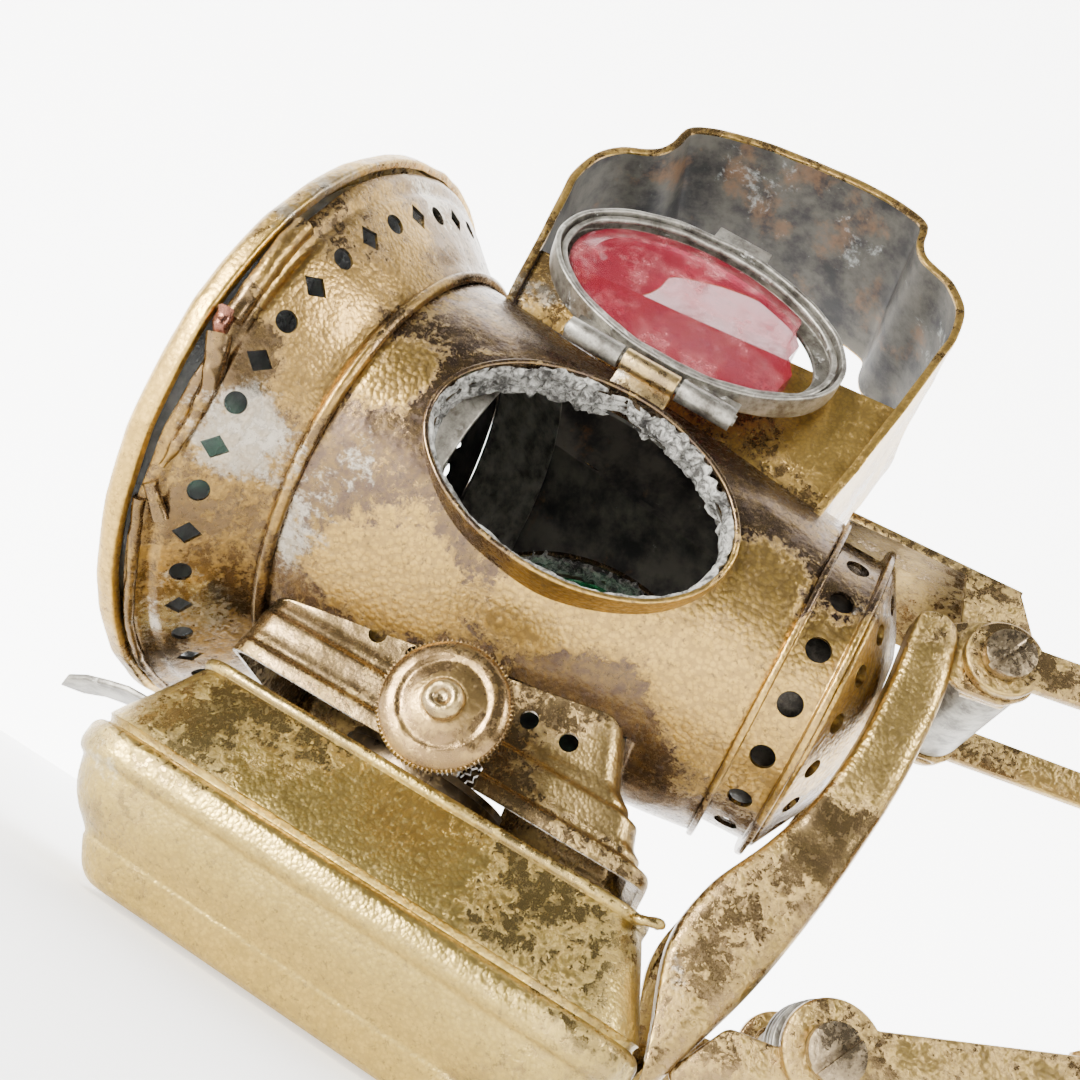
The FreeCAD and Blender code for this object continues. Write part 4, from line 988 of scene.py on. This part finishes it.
def make_neck():
    """The flue: a tapering box of sheet between the barrel and the hood."""
    def half_length(height):
        return 22.78 + 0.1614 * (height - 70)
    points = []
    heights = [76 + 24.4 * step / 22 for step in range(23)]
    layers = [(height, 0.0) for height in heights] + [(height, WALL) for height in reversed(heights)]
    for height, inset in layers:
        rise = height - (0.25 if inset == 0.0 and height > 100 else 0.0)
        wide = 15.9 - inset
        long = half_length(height) - inset
        outline = soft_outline([(wide, long), (-wide, long), (-wide, -long), (wide, -long)], 0.9, 4, 100)
        for first, second in zip(outline, outline[1:] + outline[:1]):
            for part in range(8):
                spot = first.lerp(second, part / 8)
                lift = max(0.0, (height - 96) / 4.4) * max(0.0, min(1.0, (-spot.x - 14.8) * 5)) * 1.7
                place = Vector((spot.x, MIDDLE + spot.y, rise + 9.0 * lift))
                dent = Vector((-math.copysign(1, spot.x) if abs(spot.x) > 15 else 0, 0, 0))
                push = abs(wander(Vector((spot.x, spot.y, height)), 8, 0.5, 4.0))
                points.append(place + dent * (0.10 + push))
    count = len(points) // len(layers)
    neck = mesh_object("neck_sheet", points, ring_faces(len(layers), count), FINISHES["hood_brass"], 38)
    cut_away(neck, barrel_core(FINISHES["hood_brass"]))
    finish_mesh(neck, 38)

    def inside(centre, normal):
        return normal.x * centre.x + normal.y * (centre.y - MIDDLE) < -1
    two_faced(neck, SOOT, inside)
    stand_in(neck, "hood_neck")


# ---------------------------------------------------------------- gallery and font


def rounded_loop(height, front, rear, half_width, corner, per_side=26):
    loop = []
    centres = ((half_width - corner, rear - corner, 0), (corner - half_width, rear - corner, 90),
               (corner - half_width, front + corner, 180), (half_width - corner, front + corner, 270))
    for number, (across, along, start) in enumerate(centres):
        arc = []
        for step in range(9):
            turn = math.radians(start + 90 * step / 8)
            arc.append(Vector((across + corner * math.cos(turn), along + corner * math.sin(turn), height)))
        loop.extend(arc)
        following = centres[(number + 1) % 4]
        turn = math.radians(following[2])
        end = Vector((following[0] + corner * math.cos(turn), following[1] + corner * math.sin(turn), height))
        loop.extend(arc[-1].lerp(end, step / per_side) for step in range(1, per_side))
    return loop


def make_gallery():
    brass = FINISHES["gallery_brass"]
    foot = 29.6
    steps = smooth_path([
        (0, 0, 0), (0.9, 0.0, 0.0), (1.8, 0.5, 0.1), (2.2, 1.8, 0.5), (2.9, 2.1, 0.6), (3.7, 3.1, 0.75),
        (5.2, 3.7, 0.85), (6.1, 4.1, 0.95), (6.6, 5.3, 1.3), (7.4, 5.8, 1.4), (8.4, 7.2, 1.6),
        (9.6, 8.0, 1.65),
        (14.4, 10.0, 1.9), (19.0, 12.6, 2.0)], 3)
    loops = [rounded_loop(foot + step.x, -28, 28 - step.y, 16.9 - step.z, 3.0) for step in steps]
    loops += [rounded_loop(foot + step.x, -27.2, 27.2 - step.y, 16.1 - step.z, 2.2)
              for step in reversed(steps)]
    points = [place for loop in loops for place in loop]
    gallery = mesh_object("gallery_sheet", points, ring_faces(len(loops), len(loops[0])), brass, 34)
    notch = [(-30, MIDDLE - 6.4, foot - 1), (-30, MIDDLE + 5.6, foot - 1), (-30, MIDDLE + 4.4, foot + 8.2),
             (-30, MIDDLE - 4.4, foot + 8.2)]
    cutters = [block("notch_punch", notch, (60, 0, 0), brass), barrel_core(brass)]
    for number in range(6):
        station = -13.7 + 5.28 * number
        cutters.append(rod("vent_punch", (-30, station, 39.9), (30, station, 39.9), 1.1, brass))
    cut_away(gallery, *cutters)
    finish_mesh(gallery, 34)
    dented(gallery, 9, 0.16, 4.0, inward=True)
    stand_in(gallery, "gallery")


def font_loop(height, inset, corner):
    return rounded_loop(height, inset - 35.3, 35.3 - inset, 22.5 - inset, corner, 40)


def make_font():
    brass = FINISHES["font_brass"]
    knots = [(0, 8.6), (0.35, 7.9), (1.2, 7.0), (2.4, 6.2), (3.7, 5.5), (4.3, 5.35), (5.0, 4.7), (6.4, 3.2),
             (8.2, 2.0), (10.2, 1.25), (10.9, 1.0), (11.4, 0.4), (12.2, 0.05), (13.2, 0.0), (14.2, 0.05),
             (14.9, 0.5), (15.2, 1.2), (15.9, 0.95), (16.4, 0.95), (20, 2.6), (25.7, 5.2), (26.1, 5.35),
             (26.5, 5.05), (27.1, 5.05), (27.5, 5.3)]
    profile = smooth_path([Vector((height, inset, 0)) for height, inset in knots], 3)
    loops = []
    for step in profile:
        inset = max(step.y, 0.0)
        loops.append(font_loop(max(step.x, 0.0), inset, max(7 - 0.35 * inset, 2.5)))
    loops += [font_loop(27.55, 6.2, 2.5), font_loop(27.3, 9.0, 2.5), font_loop(27.3, 14.0, 2.5)]
    count = len(loops[0])
    top = len(loops)
    faces = ring_faces(top, count, closed_rings=False)
    faces.append(tuple(range((top - 1) * count, top * count)))
    loops += [font_loop(0.05, 14.0, 2.5), font_loop(0.05, 10.5, 2.5)]
    faces.append(tuple(range(top * count, (top + 1) * count)))
    for lower, upper in ((top, top + 1), (top + 1, 0)):
        for index in range(count):
            beside = (index + 1) % count
            faces.append((lower * count + index, lower * count + beside, upper * count + beside,
                          upper * count + index))
    points = [place for loop in loops for place in loop]
    font = mesh_object("font_shell", points, faces, brass, 50)
    hole = rod("collar_punch", (0, -2.6, 24), (0, -2.6, 30), 9.2, brass, 48)
    cut_away(font, hole)
    finish_mesh(font, 50)
    for vertex in font.data.vertices:
        place = vertex.co / MM
        if place.z > 1.0:
            inwards = Vector((-place.x, -place.y * 0.25, 0)).normalized()
            vertex.co += inwards * abs(wander(place, 16, 0.5, 2.0) + wander(place, 5, 0.14, 6.0)) * MM
    stand_in(font, "font")
    crimp = [(15.6, 30.6, 27.2), (16.6, 30.9, 27.4), (17.2, 29.8, 27.0), (16.9, 28.6, 26.7),
             (16.0, 28.4, 26.9)]
    piece(tube_along("font_crimp", smooth_path(crimp, 6), 0.55, brass, 10, roughen=0.25), "font", "font_brass")


# ---------------------------------------------------------------- wick knob


def make_knob():
    brass = FINISHES["knob_brass"]
    outline = [(24.8, 1.15), (24.8, 6.4, 0.5), (25.4, 7.15, 0.4), (26.7, 7.15, 0.5), (27.45, 6.4, 0.6),
               (27.7, 5.2, 0.5), (27.55, 4.6, 0.4), (27.9, 3.6, 0.6), (28.2, 2.6), (28.2, 1.15)]
    turn = Matrix.Rotation(math.radians(-90), 4, "Z")
    seat = Matrix.Translation((0, 0.8 * MM, 34.1 * MM)) @ turn
    drop = Matrix.Translation((0, 0, -AXIS_HEIGHT * MM))
    knob = lathe("knob_disc", soft_outline(outline, 0.15, 4, 0.8), brass, 200)
    knob.data.transform(seat @ drop)
    dented(knob, 4, 0.12, 4.0, inward=True)
    stand_in(knob, "wick_knob")
    tooth = block("knurl", [(7.0, 25.45, -0.13), (7.38, 25.45, 0), (7.0, 25.45, 0.13)], (0, 1.25, 0), brass)
    ring = ring_of_copies(tooth, 90, 0.0, seat)
    piece(ring, "wick_raiser", "knob_brass")
    stud = [(28.15, 0.0), (28.15, 2.3), (28.9, 2.3, 0.5), (29.6, 1.7, 0.6), (29.65, 1.0, 0.4),
            (29.05, 0.55, 0.3), (29.0, 0.0)]
    rivet = lathe("knob_stud", soft_outline(stud, 0.15, 4, 0.4), FINISHES["hinge_brass"], 80)
    rivet.data.transform(seat @ drop)
    dented(rivet, 1.4, 0.12, 2.0, inward=True)
    stand_in(rivet, "knob_rivet")


# ---------------------------------------------------------------- bracket arms


def make_arms():
    brass = FINISHES["bracket_brass"]
    outer = smooth_path([
        (44.9, 75.6), (46.4, 74.6), (47.3, 71), (47.8, 66), (47.6, 56), (46.4, 46), (44.6, 36), (42.2, 26.5),
        (38.6, 16.5), (36.2, 9.6)], 9)
    inner = smooth_path([
        (42.7, 75.6), (41.3, 74.6), (41.3, 71), (41.5, 66), (41.3, 58), (40.0, 49.5), (37.2, 41.5),
        (33.4, 33.5),
        (32.5, 26), (35.6, 16.4)], 9)
    section = ((0.0, 0.0), (0.0, 0.40), (0.01, 0.66), (0.05, 0.84), (0.13, 0.94), (0.25, 0.985), (0.40, 1.0),
               (0.55, 1.0), (0.70, 0.99), (0.82, 0.985), (0.93, 0.96), (0.985, 0.88), (1.0, 0.72),
               (1.0, 0.40),
               (1.0, 0.0))
    for side, name in SIDES:
        points = []
        for first, second in zip(outer, inner):
            loop = []
            for inset, shares in ((0.0, section), (1.1, tuple(reversed(section)))):
                width = (second - first).length
                for share, lift in shares:
                    share = share + (0.5 - share) * 2 * inset / max(width, 2.4)
                    spot = first.lerp(second, share)
                    out = 11.4 + 5.0 * lift - (inset if lift > 0.3 else 0.0)
                    place = Vector((out, spot.x, spot.y))
                    if inset == 0.0 and lift > 0.5:
                        place.x -= abs(wander(place, 8, 0.6, side + 2) + wander(place, 3, 0.12, 6.0))
                    loop.append(Vector((side * place.x, place.y, place.z)))
            points.extend(loop)
        count = 2 * len(section)
        arm = mesh_object(f"arm_sheet_{name}", points, capped_faces(len(outer), count), brass, 50)
        stand_in(arm, f"bracket_arm_{name}")
        upper = [(44, 71), (44, 75), (47, 77.4), (50, 78.8), (53, 78.6), (55.4, 77.2), (56.6, 74.4),
                 (56.4, 71.6),
                 (54, 69.2), (49, 68.6)]
        lower = [(38.0, 15.6), (41.6, 22.4), (47.2, 23.4), (48.4, 27.6), (51.6, 29.2), (54.8, 27.4),
                 (55.2, 23.6),
                 (53.0, 21.2), (48.6, 18.8), (39.2, 14.6)]
        for label, corners in (("upper", upper), ("lower", lower)):
            foot = [(side * 13.25, y, z) for y, z in soft_outline(corners, 0.8, 3, 50)]
            ear = block(f"{label}_ear_{name}", foot, (side * 1.2, 0, 0), brass)
            pivot = (52.0, 74.0) if label == "upper" else (51.5, 25.4)
            cut_away(ear, rod("bolt_punch", (side * 10, *pivot), (side * 18, *pivot), 2.05, brass))
            bevelled(ear, 0.25)
            finish_mesh(ear, 50)
            piece(ear, "lamp", "bracket_brass")


# ---------------------------------------------------------------- plain parts, their edges eased


def ease_edges(node, width, segments=2, dent=0.0):
    source = nodes[node]
    item = bpy.data.objects.new(f"{node}_eased", source.data.copy())
    bpy.context.collection.objects.link(item)
    item.data.materials.clear()
    item.data.materials.append(FINISHES[SLOT_OF[node]])
    finish_mesh(item, 40)
    bevelled(item, width, segments, 42)
    if dent:
        dented(item, 5, dent, 2.0, inward=True)
    item.data.shade_smooth()
    item.data.set_sharp_from_angle(angle=math.radians(45))
    stand_in(item, node)


make_bell()
make_rim()
make_torn_lip()
make_barrel()
make_windows()
make_doors()
make_tail()
make_hood()
make_neck()
make_gallery()
make_font()
make_knob()
make_arms()
for node, width in (("hinge_leaf_port", 0.12), ("hinge_leaf_starboard", 0.12), ("door_leaf_port", 0.12),
                    ("door_leaf_starboard", 0.12), ("door_catch_port", 0.2), ("door_catch_starboard", 0.2),
                    ("font_tab", 0.2), ("tail_stay", 0.25), ("upper_sleeve", 0.25), ("lower_sleeve", 0.25),
                    ("upper_pivot_bolt", 0.22), ("lower_pivot_bolt", 0.22), ("upper_pivot_nut", 0.25),
                    ("lower_pivot_nut", 0.25), ("upper_link_port", 0.35), ("upper_link_starboard", 0.35),
                    ("lower_link_port", 0.35), ("lower_link_starboard", 0.35), ("clamp_carriage", 0.3),
                    ("clamp_band", 0.4), ("clamp_screw", 0.25), ("clamp_wing_nut", 0.3),
                    ("clamp_pin_upper", 0.25),
                    ("clamp_pin_lower", 0.25), ("steadying_spring", 0.1), ("burner_collar", 0.2)):
    ease_edges(node, width)
for node, item in nodes.items():
    if not item.hide_render:
        item.data.materials.clear()
        item.data.materials.append(FINISHES[SLOT_OF[node]])

# ---------------------------------------------------------------- floor, light, camera

AHEAD = -RIGHT.cross(UP)
CENTRE = Vector((0, 0.005, 0.07))


def stage_sheet(name, corners, finish):
    mesh = bpy.data.meshes.new(name)
    mesh.from_pydata(corners, [], [(0, 1, 2, 3)])
    mesh.materials.append(finish.material)
    item = bpy.data.objects.new(name, mesh)
    bpy.context.collection.objects.link(item)


def pale_paper(name, glow):
    paper = Finish(name)
    paper.set(Base_Color=(0.95, 0.95, 0.945), Roughness=0.7 + paper.noise(60) * 0.05,
              Emission_Color=(1.0, 0.995, 0.985))
    paper.shader.inputs["Emission Strength"].default_value = glow
    return paper


FLOOR_REACH, FLOOR_DROP = 3, -0.0006
FLOOR_GLOW, BACKDROP_GLOW = 1.1, 4.5
WORLD_STRENGTH = 0.20
KEY_POWER, RAKE_POWER, REAR_POWER = 8.5, 5.0, 2.4
CAMERA_PLACE, LENS = Vector((0.13618, 0.02811, 0.01040)), 35.93

SQUARE = ((-1, -1), (1, -1), (1, 1), (-1, 1))
floor_corners = [(FLOOR_REACH * x, FLOOR_REACH * y, FLOOR_DROP) for x, y in SQUARE]
stage_sheet("floor", floor_corners, pale_paper("floor", FLOOR_GLOW))
middle = CENTRE + AHEAD * 0.45
backdrop_corners = [middle + RIGHT * (2 * x) + UP * (2 * y) for x, y in SQUARE]
stage_sheet("backdrop", backdrop_corners, pale_paper("backdrop", BACKDROP_GLOW))
set_world((1.0, 0.985, 0.96), WORLD_STRENGTH)
set_camera(CAMERA_PLACE, LENS)
KEY = CENTRE - AHEAD * 0.34 - RIGHT * 0.26 + UP * 0.34
RAKE = CENTRE - AHEAD * 0.20 - RIGHT * 0.42 - UP * 0.16
REAR = CENTRE - AHEAD * 0.18 + RIGHT * 0.40 + UP * 0.10
add_light("key", KEY, CENTRE, 0.15, KEY_POWER, (1.0, 0.99, 0.965))
add_light("rake", RAKE, CENTRE, 0.10, RAKE_POWER, (1.0, 0.985, 0.95))
add_light("rear", REAR, CENTRE, 0.12, REAR_POWER, (1.0, 0.99, 0.97))
